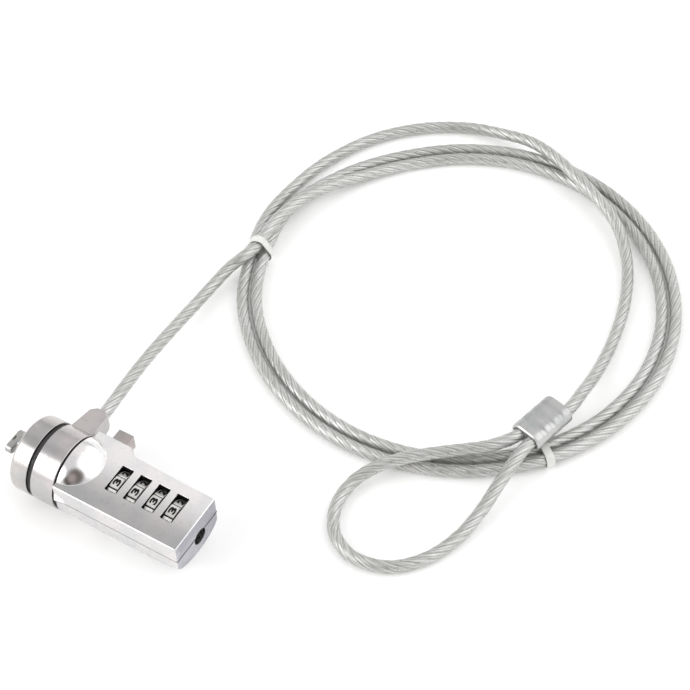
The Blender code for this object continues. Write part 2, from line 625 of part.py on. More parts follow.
def make_cable(coated, ground):
    route = lead_points() + coil_points() + last_pass_points() + eye_points()
    curve = bpy.data.curves.new("cable", "CURVE")
    curve.dimensions = "3D"
    curve.bevel_depth = CABLE_D / 2 * MM
    curve.bevel_resolution = 2
    curve.use_fill_caps = True
    curve.materials.append(coated)
    spline = curve.splines.new("POLY")
    spline.points.add(len(route) - 1)
    for point, place_on_route in zip(spline.points, route):
        point.co = (*(Vector(place_on_route) * MM), 1.0)
    made = bpy.data.objects.new("cable", curve)
    made.parent = ground
    bpy.context.scene.collection.objects.link(made)


def make_crimp_ferrule(metal, ground):
    offset = FERRULE_BORE_OFFSET
    outline = arc((offset, 0), FERRULE_R, -90, 90, 8) + arc((-offset, 0), FERRULE_R, 90, 270, 8)
    shape = prism("X", (0, FERRULE_LENGTH), outline)
    turn = Matrix.Rotation(math.radians(FERRULE_ANGLE), 3, "Z")
    centre = Vector((*FERRULE_END, FERRULE_Z))
    bores = [rod("X", (-2, FERRULE_LENGTH + 2), FERRULE_BORE_R, (side * offset, 0), 16) for side in (-1, 1)]
    for part in (shape, *bores):
        bmesh.ops.rotate(part, matrix=turn, verts=part.verts)
        bmesh.ops.translate(part, vec=centre, verts=part.verts)
    cut(piece("crimp_ferrule", shape, metal, ground), *bores)


def wrapped(strands, radius):
    """Outline of a band drawn tight round strands, each a centre (across, height)."""
    points = [Vector(p) for strand in strands for p in circle(radius, 16, strand)]
    return [tuple(points[i]) for i in convex_hull_2d(points)]


def make_tie(name, degrees, strands, white, ground):
    """A band round the strands at one angle of the coil."""
    inner_r = CABLE_D / 2 + TIE_CLEARANCE
    band = prism("Y", (-TIE_WIDTH / 2, TIE_WIDTH / 2), wrapped(strands, inner_r + TIE_WALL))
    hole = prism("Y", (-TIE_WIDTH, TIE_WIDTH), wrapped(strands, inner_r))
    for part in (band, hole):
        bmesh.ops.rotate(part, matrix=Matrix.Rotation(math.radians(degrees), 3, "Z"), verts=part.verts)
        bmesh.ops.translate(part, vec=on_coil(0, degrees, 0), verts=part.verts)
    cut(piece(name, band, white, ground), hole)


def make_ties(white, ground):
    pair = [(-STRAND_GAP / 2, TIED_Z), (STRAND_GAP / 2, TIED_Z)]
    make_tie("tie_1", TIE_1_ANGLE, pair + [(0, NESTED_Z)], white, ground)
    make_tie("tie_2", TIE_2_ANGLE, pair, white, ground)


# ---------------------------------------------------------------- the whole lock


def main():
    clear_scene()
    lock = empty("lock_axis", LOCK_AXIS)
    ground = empty("ground", (LOCK_AXIS[0], LOCK_AXIS[1], 0))
    metal = look("satin_metal", (0.62, 0.61, 0.60), 0.32, 1.0)
    steel = look("steel", (0.55, 0.55, 0.54), 0.3, 1.0)
    brass = look("brass", (0.66, 0.52, 0.27), 0.35, 1.0)
    nylon = look("black_nylon", (0.02, 0.02, 0.02), 0.5, 0.0)
    coated = look("coated_rope", (0.62, 0.63, 0.60), 0.3, 0.6)
    white = look("white_tie", (0.9, 0.9, 0.88), 0.4, 0.0)

    make_upper_case(metal, lock)
    make_lower_case(metal, lock)
    make_end_cap(metal, lock)
    make_swivel_ring(metal, lock)
    make_washer("front_washer", FRONT_WASHER_X, nylon, lock)
    make_washer("rear_washer", REAR_WASHER_X, nylon, lock)
    make_hub(steel, lock)
    make_slot_guide(steel, lock)
    make_t_bar(steel, lock)
    make_retaining_clip(steel, lock)
    make_pinion(brass, lock)
    make_release_button(metal, lock)
    coil_spring("button_spring", "Y", (-8.7, -2.9), (6.7, 3.8), 1.0, 0.2, 6, steel, lock)
    make_spindle(steel, lock)
    coil_spring("spindle_spring", "X", (33.95, 35.85), (0, 0), 1.35, 0.18, 3, steel, lock)
    make_dials(steel, brass, lock)
    make_dividers(nylon, lock)
    make_click_spring(steel, lock)
    make_reset_screw(steel, lock)
    make_case_screws(steel, lock)
    make_cable_stop(steel, lock)
    make_cable(coated, ground)
    make_crimp_ferrule(steel, ground)
    make_ties(white, ground)


main()
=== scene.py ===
"""Looks of the laptop cable lock: rounded metal pieces, number dials and a coated, twisted wire rope.

The frame, the cable and the stage are in metres. Lock pieces are drawn in millimetres about the lock's own
axis, as in the CAD: X runs from the T-bar to the reset hole, Y points to the button's side and Z up.
"""

import json
import math

import bmesh
import bpy
from mathutils import Matrix, Vector


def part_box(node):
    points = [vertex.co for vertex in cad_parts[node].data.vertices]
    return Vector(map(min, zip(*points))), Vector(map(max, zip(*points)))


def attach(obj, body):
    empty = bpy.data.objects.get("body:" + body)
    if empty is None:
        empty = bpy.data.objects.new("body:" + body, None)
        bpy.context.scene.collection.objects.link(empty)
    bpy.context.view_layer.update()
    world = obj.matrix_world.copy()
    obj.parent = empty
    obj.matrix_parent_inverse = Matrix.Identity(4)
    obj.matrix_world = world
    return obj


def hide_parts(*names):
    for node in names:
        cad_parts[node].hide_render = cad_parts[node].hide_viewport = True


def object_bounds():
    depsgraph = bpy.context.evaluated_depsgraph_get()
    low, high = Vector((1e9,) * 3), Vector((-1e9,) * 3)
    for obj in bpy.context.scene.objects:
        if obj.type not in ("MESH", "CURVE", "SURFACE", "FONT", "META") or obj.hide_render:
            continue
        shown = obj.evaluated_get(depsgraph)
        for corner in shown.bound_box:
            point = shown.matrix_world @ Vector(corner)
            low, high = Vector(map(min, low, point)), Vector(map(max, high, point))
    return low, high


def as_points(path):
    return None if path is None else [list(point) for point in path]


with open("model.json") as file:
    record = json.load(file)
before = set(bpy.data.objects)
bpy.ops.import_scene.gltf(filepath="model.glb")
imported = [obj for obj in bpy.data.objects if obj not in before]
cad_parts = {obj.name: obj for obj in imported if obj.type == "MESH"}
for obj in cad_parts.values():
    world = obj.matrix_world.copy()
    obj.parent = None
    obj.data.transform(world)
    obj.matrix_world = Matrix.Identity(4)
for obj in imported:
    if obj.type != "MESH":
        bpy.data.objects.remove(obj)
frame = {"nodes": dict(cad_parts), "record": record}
bounds_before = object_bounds()
MM = 0.001


def middle(node):
    low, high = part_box(node)
    return (Vector(low) + Vector(high)) / 2


AXIS = middle("rear_washer")


def span(node, axis):
    """Lowest and highest value of a CAD node along X, Y or Z, in millimetres about the lock's axis."""
    number = "XYZ".index(axis)
    return [(corner[number] - AXIS[number]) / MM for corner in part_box(node)]


# Read from the frame
BODY_OF = {node: body for body, nodes in frame["record"]["behaviour"]["bodies"].items() for node in nodes}
CASE_X, SHOULDER_Y = span("upper_case", "X"), span("upper_case", "Y")[1]
UPPER_BOTTOM_Z, LOWER_TOP_Z = span("upper_case", "Z")[0], span("lower_case", "Z")[1]
PARTING_Z, BELLY_Z = (UPPER_BOTTOM_Z + LOWER_TOP_Z) / 2, span("lower_case", "Z")[0]
BUTTON_X, BUTTON_TOP_Z = span("release_button", "X"), span("release_button", "Z")[1]
CAP_X, RING_X = span("end_cap", "X"), span("swivel_ring", "X")
DRUM_R = span("end_cap", "Z")[1]
LUG_TIP_Y = span("swivel_ring", "Y")[1]
DIAL_PLACES = [sum(span(f"dial_{number}", "X")) / 2 for number in (1, 2, 3, 4)]
DIAL_R, DIAL_WIDTH = span("dial_1", "Z")[1], span("dial_1", "X")[1] - span("dial_1", "X")[0]

# Case
NEAR_Y, FAR_Y, SHOULDER_END_X, DIAL_ZONE_X = -10.3, 8.2, 11.3, 12.6
TOP_Z, CEILING_Z, WALL_LOW_Z = 6.9, 5.9, -1.5
END_BOTTOM_Z, BELLY_END_X = -4.6, 28.5
BAY_R, BAY_X, HUB_BORE_R, RESET_BORE_R = 7.2, (2.55, 34.9), 5.6, 2.45
EDGE_ROUNDING, SEAM_CHAMFER = 0.5, 0.15
WINDOW_X, WINDOW_Y, WINDOW_LOW_Z, WINDOW_CORNER, WINDOW_CHAMFER = 3.7, (-3.85, 4.75), 4.5, 0.45, 0.04
SCREW_HEAD_HEIGHT, SCREW_HEAD_HOLE_R, SCREW_SHANK_HOLE_R = 0.8, 1.35, 0.8

# Room in the upper case for the button's stem, and for its block in the shoulder's wall
STEM_ROOM_Y, STEM_GAP, STEM_CEILING_GAP = (-9.0, 8.9), 0.1, 0.05
BLOCK_ROOM_X, BLOCK_ROOM_Y, BLOCK_GAP = (4.25, 9.15), (4.4, 12.0), 0.15

# End cap and swivel ring
CAP_ROUNDING, CAP_BACK_ROUNDING, CAP_WALL, CAP_POCKET_R = 1.2, 0.15, 1.5, 4.1
SLOT_HALF_WIDTH, SLOT_HALF_LENGTH, SLOT_CORNER = 1.45, 3.45, 0.3
RING_ROUNDING = 0.25
LUG_X, LUG_Z, LUG_BASE_Y = -4.0, 3.0, 8.0
LUG_HALF_WIDTH, LUG_TOP_Z, LUG_BOTTOM_Z = (3.5, 2.75), (6.9, 5.6), (-1.0, 0.4)
LUG_CORNER, LUG_ROUNDING, LUG_DEPTH_IN_RING = 1.3, 0.7, 1.0
LUG_BORE_R, STOP_BORE_R, STOP_BORE_Y = 1.95, 2.5, (3.0, 10.5)

# Dials: raised pads on a dark core
DIGITS, FIRST_DIGIT, DIAL_BORE_R, CORE_BEVEL = 10, 3, 4.6, 0.2
PAD_HALF_ANGLE, PAD_TURN, PAD_DEPTH, PAD_BEVEL, PAD_X = 16.3, 2.0, 0.45, 0.1, (-1.65, 1.15)
DIGIT_WIDTH, DIGIT_HEIGHT, DIGIT_BOLDNESS, DIGIT_THICKNESS = 2.1, 2.05, 0.15, 0.03
FONT_CAP_HEIGHT = 0.7

# How far off still counts as on a face: for an edge's ends, and for the middle of a face
EDGE_SLACK, FACE_SLACK = 0.1, 0.01

# Cable
CABLE_D, LAY, STRANDS = 0.0036, 0.022, 6
ROPE_SIDES, STRAND_RELIEF, ROPE_STEP, QUICK_ROPE_STEP = 36, 0.055, 0.0009, 0.0014
COIL_CENTRE, COIL_R, STRAND_GAP = Vector((0.0466, 0.11065, 0)), 0.0614, 0.0041
TIE_1_ANGLE, TIE_2_ANGLE, TIE_REACH = 194.2, -39.2, 25
COIL_BULGES = [(TIE_1_ANGLE, 30, 0.002), (138, 35, -0.0026)]
LYING_Z, TIED_Z, NESTED_Z = 0.00185, 0.0025, 0.00595
STEPS_TIE_TO_TIE, STEPS_ON = 12, 7

# Crimped sleeve that closes the eye
FERRULE_END, FERRULE_ANGLE, FERRULE_LENGTH = Vector((0.0887, 0.06985, 0.008)), 76.0, 0.0145
FERRULE_BORE_OFFSET, FERRULE_BORE_R, FERRULE_R = 0.00215, 0.00198, 0.00285
CRIMP_PLACES, CRIMP_DEPTH, CRIMP_HALF_WIDTH = (0.25, 0.5, 0.75), 0.00035, 0.0008
MOUTH_LENGTH, MOUTH_DEPTH = 0.0006, 0.00045

# Camera, floor and lights. A light is (azimuth, elevation, distance, size, power)
CAMERA_PLACE, CAMERA_TARGET = Vector((0.1977, -0.19526, 0.39948)), Vector((0.02571, 0.07861, 0))
CAMERA_ROLL, CAMERA_LENS, CAMERA_SENSOR, CAMERA_NEAREST = -1.497, 91.73, 36.0, 0.01
FLOOR_GAP, FLOOR_R, FLOOR_BEND_R, FLOOR_SIDES, FLOOR_GLOW = 0.00002, 0.9, 0.5, 64, 0.17
LIGHTS = {"key_light": (38, 46, 0.9, 0.9, 1.1), "near_light": (-135, 34, 0.7, 0.5, 1.4)}

# The room's light and the patches that differ from it: (azimuth, elevation, size, softness, colour)
ROOM_COLOUR, ROOM_STRENGTH = (0.80, 0.80, 0.80), 0.92
ROOM_PATCHES = [
    (25, 48, 34, 10, (1.4, 1.4, 1.4)),
    (68, 40, 26, 8, (1.4, 1.4, 1.4)),
    (-125, 36, 20, 8, (2.1, 2.1, 2.1)),
    (-125, 5, 14, 8, (1.2, 1.2, 1.2)),
    (-56, 46, 21, 9, (0.20, 0.175, 0.165)),
    (-80, 32, 12, 6, (0.16, 0.14, 0.13)),
    (-68, 42, 9, 8, (0.42, 0.36, 0.34)),
    (122, 51, 20, 9, (0.96, 0.95, 0.95)),
]


# ---------------------------------------------------------------- shader nodes


class Shading:
    """The shader nodes of a material or of the world."""

    MIX_FIRST, MIX_SECOND, MIX_RESULT = 6, 7, 2

    def __init__(self, tree):
        self.nodes, self.links = tree.nodes, tree.links

    def add(self, kind, **settings):
        made = self.nodes.new(kind)
        for name, value in settings.items():
            setattr(made, name, value)
        return made

    def link(self, output, target):
        self.links.new(output, target)

    def feed(self, target, value):
        if isinstance(value, (int, float)):
            target.default_value = value
        else:
            self.link(value, target)

    def spread(self, source, low, high, start=0.3, end=0.7):
        """The source, which runs from start to end, turned into values from low to high."""
        made = self.add("ShaderNodeMapRange", interpolation_type="SMOOTHSTEP")
        self.link(source, made.inputs["Value"])
        for name, value in (("From Min", start), ("From Max", end), ("To Min", low), ("To Max", high)):
            made.inputs[name].default_value = value
        return made.outputs["Result"]

    def math(self, operation, first, second=0.0):
        made = self.add("ShaderNodeMath", operation=operation)
        self.feed(made.inputs[0], first)
        self.feed(made.inputs[1], second)
        return made.outputs["Value"]

    def mix(self, factor, first, second):
        """A colour between two, each an RGB triple or an output."""
        made = self.add("ShaderNodeMix", data_type="RGBA")
        self.feed(made.inputs["Factor"], factor)
        for number, colour in ((self.MIX_FIRST, first), (self.MIX_SECOND, second)):
            if isinstance(colour, tuple):
                made.inputs[number].default_value = (*colour, 1.0)
            else:
                self.link(colour, made.inputs[number])
        return made.outputs[self.MIX_RESULT]


class Look(Shading):
    """A material in the making: a Principled shader and the nodes that feed it."""

    def __init__(self, name, metallic=0.0, coat=0.0):
        self.material = bpy.data.materials.new(name)
        self.material.use_nodes = True
        super().__init__(self.material.node_tree)
        self.shader = self.nodes["Principled BSDF"]
        self.shader.inputs["Metallic"].default_value = metallic
        self.shader.inputs["Coat Weight"].default_value = coat
        self.place = self.add("ShaderNodeTexCoord").outputs["Object"]

    def noise(self, size_mm, detail=3.0, stretch=(1, 1, 1)):
        """Noise with spots of about the given size, drawn out along the axes with a small stretch."""
        mapping = self.add("ShaderNodeMapping")
        self.link(self.place, mapping.inputs["Vector"])
        mapping.inputs["Scale"].default_value = [part / (size_mm * MM) for part in stretch]
        made = self.add("ShaderNodeTexNoise")
        self.link(mapping.outputs["Vector"], made.inputs["Vector"])
        made.inputs["Scale"].default_value = 1.0
        made.inputs["Detail"].default_value = detail
        return made.outputs["Fac"]

    def colour(self, output):
        self.link(output, self.shader.inputs["Base Color"])

    def roughness(self, output):
        self.link(output, self.shader.inputs["Roughness"])

    def bump(self, height, depth_mm, after=None):
        made = self.add("ShaderNodeBump")
        self.link(height, made.inputs["Height"])
        made.inputs["Distance"].default_value = depth_mm * MM
        made.inputs["Strength"].default_value = 1.0
        if after:
            self.link(after, made.inputs["Normal"])
        self.link(made.outputs["Normal"], self.shader.inputs["Normal"])
        return made.outputs["Normal"]


# ---------------------------------------------------------------- materials

# Metal: sizes and depths in millimetres of what shows on it, and how much its worn spots change it
PATCH_MM, SMUDGE_MM, WEAR_MM, WAVE_MM, SCRATCH_MM = 9.0, 4.0, 1.6, 3.2, 0.9
WAVE_DEPTH, SCRATCH_DEPTH, GRAIN_DEPTH, SCRATCH_STRETCH = 0.035, 0.006, 0.004, (0.12, 1.0, 1.0)
WEAR_MIX, WEAR_COLOUR, WEAR_ROUGHNESS = 0.35, 0.72, 0.08

# Case: painted shade across its top, from dark at the near edge to bright at the far one, and the dome's
# painted highlight (a brighter colour) and its roughness
TOP_PAINTED_SHADES, TOP_EDGE_WIDTH, DOME_PAINTED_HIGHLIGHT, DOME_ROUGHNESS, ZONE_SOFTNESS = (0.67, 1.27), 2, 1.25, 0.3, 0.05

# Rope: wires per strand and how they turn, and the painted shade between strands and between wires
WIRES, WIRE_TURN_PER_MM, BETWEEN_STRANDS, BETWEEN_WIRES = 2.0, 0.09, 0.6, 0.7
ROPE_SILVER, ROPE_PAINTED_SHADE = ((0.54, 0.55, 0.52), (0.64, 0.64, 0.63)), (0.28, 0.285, 0.27)


def case_zones(look):
    """Two masks of the case, for its half dome and for its flat top, and the place along Y."""
    away = look.add("ShaderNodeVectorMath", operation="DISTANCE")
    look.link(look.place, away.inputs[0])
    away.inputs[1].default_value = AXIS
    position = look.add("ShaderNodeSeparateXYZ")
    look.link(look.place, position.inputs["Vector"])
    seam, top, soft = AXIS.z + PARTING_Z * MM, AXIS.z + TOP_Z * MM, ZONE_SOFTNESS * MM
    near_axis = look.spread(away.outputs["Value"], 1.0, 0.0, DRUM_R * MM + soft, DRUM_R * MM + 3 * soft)
    above_seam = look.spread(position.outputs["Z"], 0.0, 1.0, seam - soft, seam + soft)
    on_dome = look.math("MULTIPLY", near_axis, above_seam)
    at_top = look.spread(position.outputs["Z"], 0.0, 1.0, top - 2 * soft, top)
    on_top = look.math("MULTIPLY", look.math("SUBTRACT", 1.0, on_dome), at_top)
    return on_dome, on_top, position.outputs["Y"]


def case_painted_light(look, colour, on_dome, on_top, place_y):
    """The colour with painted light: a painted highlight that makes the dome brighter, and painted shade
    across the top from dark at the near edge to bright.
    """
    edges = [AXIS.y + y * MM for y in (NEAR_Y + TOP_EDGE_WIDTH, FAR_Y - TOP_EDGE_WIDTH)]
    shade = look.math("SUBTRACT", look.spread(place_y, *TOP_PAINTED_SHADES, *edges), 1.0)
    at_dome = look.math("MULTIPLY", on_dome, DOME_PAINTED_HIGHLIGHT - 1)
    brighter = look.math("ADD", look.math("MULTIPLY", on_top, shade), at_dome)
    shaded = look.add("ShaderNodeVectorMath", operation="SCALE")
    look.link(colour, shaded.inputs[0])
    look.link(look.math("ADD", brighter, 1.0), shaded.inputs["Scale"])
    return shaded.outputs["Vector"]


def metal_look(name, warm, cool, roughness, grain_mm=0.25, brushed=(1, 1, 1), is_case=False):
    """Plated metal: two tints in soft patches, uneven polish, a fine grain, shallow dents and scratches.
    The case has its own zones: a polished dome painted brighter as a highlight, and a flat top with painted
    shade that darkens it towards its near edge.
    """
    look = Look(name, metallic=1.0)
    patches = look.spread(look.noise(PATCH_MM, 2.0), 0.0, 1.0, 0.35, 0.65)
    wear = look.spread(look.noise(WEAR_MM, 6.0), 0.0, 1.0, 0.56, 0.72)
    wear_and_painted_shade = tuple(part * WEAR_COLOUR for part in warm)
    colour = look.mix(look.math("MULTIPLY", wear, WEAR_MIX), look.mix(patches, warm, cool), wear_and_painted_shade)
    smudges = look.spread(look.noise(SMUDGE_MM, 5.0), roughness * 0.8, roughness * 1.3)
    uneven = look.math("ADD", smudges, look.math("MULTIPLY", wear, WEAR_ROUGHNESS))
    if is_case:
        # Painted light on the case: a brighter colour on the dome for its highlight, and painted shade
        # across the flat top
        on_dome, on_top, place_y = case_zones(look)
        colour = case_painted_light(look, colour, on_dome, on_top, place_y)
        polish = look.math("SUBTRACT", 1.0, look.math("MULTIPLY", on_dome, 1 - DOME_ROUGHNESS))
        uneven = look.math("MULTIPLY", uneven, polish)
    look.colour(colour)
    look.roughness(uneven)
    waves = look.bump(look.noise(WAVE_MM, 2.0), WAVE_DEPTH)
    scratches = look.spread(look.noise(SCRATCH_MM, 2.0, SCRATCH_STRETCH), 0.0, 1.0, 0.66, 0.8)
    scratched = look.bump(scratches, SCRATCH_DEPTH, waves)
    look.bump(look.noise(grain_mm, 4.0, brushed), GRAIN_DEPTH, scratched)
    return look.material


def plain_look(name, dark, light, roughness, size_mm=0.8, depth_mm=0.01, metallic=0.0, gloss=0.5):
    """Plastic, rubber, paint or plain metal: mottled between two colours, with a fine uneven surface."""
    look = Look(name, metallic=metallic)
    look.shader.inputs["Specular IOR Level"].default_value = gloss
    look.colour(look.mix(look.spread(look.noise(size_mm * 4, 5.0), 0.0, 1.0), dark, light))
    look.roughness(look.spread(look.noise(size_mm * 2, 4.0), roughness * 0.8, roughness * 1.2))
    look.bump(look.noise(size_mm * 0.4, 4.0), depth_mm)
    return look.material


def rope_look():
    """Silver strands of fine wires under a clear coat, with painted shade between strands and between wires.
    The map has strands for U and millimetres for V.
    """
    look = Look("rope_strands", metallic=0.6, coat=0.25)
    split = look.add("ShaderNodeSeparateXYZ")
    look.link(look.add("ShaderNodeTexCoord").outputs["UV"], split.inputs["Vector"])
    strands, along = split.outputs["X"], split.outputs["Y"]

    def off_middle(count):
        """How far a point is from the middle of its strand or wire, from 0 to 0.5."""
        return look.math("ABSOLUTE", look.math("SUBTRACT", look.math("FRACT", count), 0.5))

    turning = look.math("MULTIPLY", along, WIRE_TURN_PER_MM)
    wires = look.math("ADD", look.math("MULTIPLY", strands, WIRES), turning)
    valleys = look.spread(off_middle(strands), 0.0, 1.0, 0.30, 0.5)
    gaps = look.spread(off_middle(wires), 0.0, 1.0, 0.26, 0.5)
    silver = look.mix(look.spread(look.noise(7.0, 3.0), 0.0, 1.0), *ROPE_SILVER)
    # Painted shade: darker colour between the wires and between the strands
    wear_and_painted_shade = look.mix(look.math("MULTIPLY", gaps, BETWEEN_WIRES), silver, ROPE_PAINTED_SHADE)
    look.colour(look.mix(look.math("MULTIPLY", valleys, BETWEEN_STRANDS), wear_and_painted_shade, ROPE_PAINTED_SHADE))
    look.roughness(look.spread(look.noise(1.5, 4.0), 0.26, 0.4))
    look.shader.inputs["Coat Roughness"].default_value = 0.08
    depth = look.math("ADD", look.math("MULTIPLY", valleys, 0.5), look.math("MULTIPLY", gaps, 0.5))
    look.bump(look.math("SUBTRACT", 1.0, depth), 0.1)
    return look.material


def floor_look():
    """Matt white paper that glows a little, so that shadows on it stay pale."""
    look = Look("paper_floor")
    clouds = look.spread(look.noise(60.0, 3.0), 0.0, 1.0)
    look.colour(look.mix(clouds, (0.90, 0.90, 0.905), (0.925, 0.925, 0.92)))
    look.roughness(look.spread(look.noise(5.0, 3.0), 0.7, 0.9))
    look.bump(look.noise(0.6, 4.0), 0.01)
    look.shader.inputs["Emission Color"].default_value = (1, 1, 1, 1)
    look.shader.inputs["Emission Strength"].default_value = FLOOR_GLOW
    return look.material


LOOKS = {
    "case": metal_look("satin_case", (0.76, 0.735, 0.73), (0.68, 0.68, 0.685), 0.27, is_case=True),
    # Painted shade: the case's end face is the case's metal painted darker and bluer for the reflection it
    # shows
    "tail": metal_look("painted_shade_tail", (0.50, 0.50, 0.53), (0.38, 0.38, 0.42), 0.3),
    "cap": metal_look("satin_cap", (0.55, 0.525, 0.51), (0.47, 0.465, 0.46), 0.2, brushed=(0.5, 1, 1)),
    "ring": metal_look("satin_ring", (0.59, 0.555, 0.55), (0.50, 0.49, 0.49), 0.2, brushed=(0.5, 1, 1)),
    "button": metal_look("satin_button", (0.50, 0.44, 0.43), (0.42, 0.40, 0.39), 0.3),
    "steel": metal_look("worn_steel", (0.47, 0.46, 0.44), (0.36, 0.37, 0.38), 0.28),
    "crimp": metal_look("crimped_sleeve", (0.56, 0.56, 0.55), (0.47, 0.48, 0.48), 0.36, grain_mm=0.4),
    "pads": plain_look("dial_pads", (0.62, 0.61, 0.59), (0.74, 0.73, 0.71), 0.34, 0.4, 0.004, metallic=0.45),
    "brass": metal_look("turned_brass", (0.70, 0.54, 0.28), (0.62, 0.47, 0.24), 0.3),
    "rubber": plain_look("black_washer", (0.012, 0.011, 0.012), (0.03, 0.028, 0.03), 0.55),
    # Black: the dials' dark cores, and painted shade on the walls inside the windows
    "black": plain_look("black_and_painted_shade", (0.006, 0.006, 0.007), (0.014, 0.014, 0.015), 0.55, 0.5,
                        gloss=0.25),
    "digits": plain_look("digit_paint", (0.005, 0.005, 0.005), (0.012, 0.012, 0.012), 0.6, 0.4, gloss=0.15),
    "seam": plain_look("seam_shadow", (0.075, 0.066, 0.075), (0.12, 0.108, 0.118), 0.6, 0.5),
    "socket": plain_look("dark_socket", (0.003, 0.003, 0.003), (0.007, 0.007, 0.007), 0.85, 0.4, gloss=0.05),
    "tie": plain_look("tie_plastic", (0.70, 0.70, 0.67), (0.80, 0.80, 0.77), 0.42, 1.0, 0.02),
    "rope": rope_look(),
}


# ---------------------------------------------------------------- shapes


def place(axis, along, u, v):
    """A point that is `along` the axis, with the other two coordinates u and v in X, Y, Z order."""
    return {"X": (along, u, v), "Y": (u, along, v), "Z": (u, v, along)}[axis]


def loft(loops):
    """A closed solid through loops of points that all have the same count."""
    shape = bmesh.new()
    rings = [[shape.verts.new(point) for point in loop] for loop in loops]
    shape.faces.new(rings[0])
    shape.faces.new(rings[-1])
    for first, second in zip(rings, rings[1:]):
        for i in range(len(first)):
            j = (i + 1) % len(first)
            shape.faces.new((first[i], first[j], second[j], second[i]))
    return shape


def prism(axis, ends, outline):
    return loft([[place(axis, along, u, v) for u, v in outline] for along in ends])


def box(x, y, z):
    return prism("Z", z, [(x[0], y[0]), (x[1], y[0]), (x[1], y[1]), (x[0], y[1])])


def arc(centre, radius, start, end, steps):
    angles = [math.radians(start + (end - start) * i / steps) for i in range(steps + 1)]
    return [(centre[0] + radius * math.cos(a), centre[1] + radius * math.sin(a)) for a in angles]


def circle(radius, steps, centre=(0, 0)):
    return arc(centre, radius, 0, 360, steps)[:-1]


def rod(axis, ends, radius, centre=(0, 0), steps=48):
    return prism(axis, ends, circle(radius, steps, centre))


def turned(profile, axis="X", steps=96, centre=(0, 0), closed=True):
    """An outline of (place along the axis, radius) points turned about the axis. Its ends join if closed."""
    shape = bmesh.new()
    rings = []
    for along, radius in profile:
        points = circle(radius, steps, centre) if radius else [centre]
        rings.append([shape.verts.new(place(axis, along, u, v)) for u, v in points])
    for first, second in zip(rings, rings[1:] + rings[:1] if closed else rings[1:]):
        if len(first) == len(second) == 1:
            continue
        for i in range(steps):
            j = (i + 1) % steps
            corners = [first[i % len(first)], first[j % len(first)]]
            corners += [second[j % len(second)], second[i % len(second)]]
            shape.faces.new(dict.fromkeys(corners))
    return shape


def rounded_rectangle(x, y, radius, steps=5):
    corners = [(x[1], y[1], 0), (x[0], y[1], 90), (x[0], y[0], 180), (x[1], y[0], 270)]
    outline = []
    for at_x, at_y, start in corners:
        centre_x = at_x - math.copysign(radius, at_x - sum(x) / 2)
        centre_y = at_y - math.copysign(radius, at_y - sum(y) / 2)
        outline += arc((centre_x, centre_y), radius, start, start + 90, steps)
    return outline


def everything(shape):
    return shape.verts[:] + shape.edges[:] + shape.faces[:]


def round_edges(shape, chosen, width, segments=4):
    """Rounds the edges that the function picks."""
    edges = [edge for edge in shape.edges if chosen(edge)]
    bmesh.ops.bevel(shape, geom=edges, offset=width, segments=segments, profile=0.5, affect="EDGES")


def solid(name, shape):
    """An object that has the bmesh as its mesh. The bmesh is used up."""
    bmesh.ops.recalc_face_normals(shape, faces=shape.faces)
    mesh = bpy.data.meshes.new(name)
    shape.to_mesh(mesh)
    shape.free()
    made = bpy.data.objects.new(name, mesh)
    bpy.context.scene.collection.objects.link(made)
    return made


def combined(name, base, steps):
    """The base after each (operation, shape) in turn, as a bmesh in the same unit."""
    target = solid(name, base)
    helpers = []
    for operation, shape in steps:
        helpers.append(solid(f"{name}_step", shape))
        modifier = target.modifiers.new(operation, "BOOLEAN")
        modifier.operation, modifier.object, modifier.solver = operation, helpers[-1], "EXACT"
    graph = bpy.context.evaluated_depsgraph_get()
    result = bpy.data.meshes.new_from_object(target.evaluated_get(graph))
    for helper in (*helpers, target):
        bpy.data.objects.remove(helper)
    shape = bmesh.new()
    shape.from_mesh(result)
    return shape


def merged(shapes):
    whole = bmesh.new()
    for shape in shapes:
        mesh = bpy.data.meshes.new("part")
        shape.to_mesh(mesh)
        shape.free()
        whole.from_mesh(mesh)
        bpy.data.meshes.remove(mesh)
    return whole


def show(name, shape, look, body, nodes=(), scale=MM, origin=AXIS, weighted=True, sharp=32):
    """A finished piece from a bmesh: smooth, in its place, riding on its body and standing for CAD nodes."""
    bmesh.ops.scale(shape, vec=(scale, scale, scale), verts=shape.verts)
    bmesh.ops.translate(shape, vec=origin, verts=shape.verts)
    made = solid(name, shape)
    made.data.materials.clear()
    made.data.materials.append(LOOKS[look])
    made.data.shade_smooth()
    made.data.set_sharp_from_angle(angle=math.radians(sharp))
    if weighted:
        modifier = made.modifiers.new("face_weighted_normals", "WEIGHTED_NORMAL")
        modifier.keep_sharp = True
    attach(made, body)
    if nodes:
        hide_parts(*nodes)
    return made


def paint(piece, looks, choose):
    """Gives some faces another look: the function picks its name from a face's centre and normal."""
    for look in looks:
        piece.data.materials.append(LOOKS[look])
    for face in piece.data.polygons:
        chosen = choose((face.center - AXIS) / MM, face.normal)
        if chosen:
            face.material_index = 1 + looks.index(chosen)


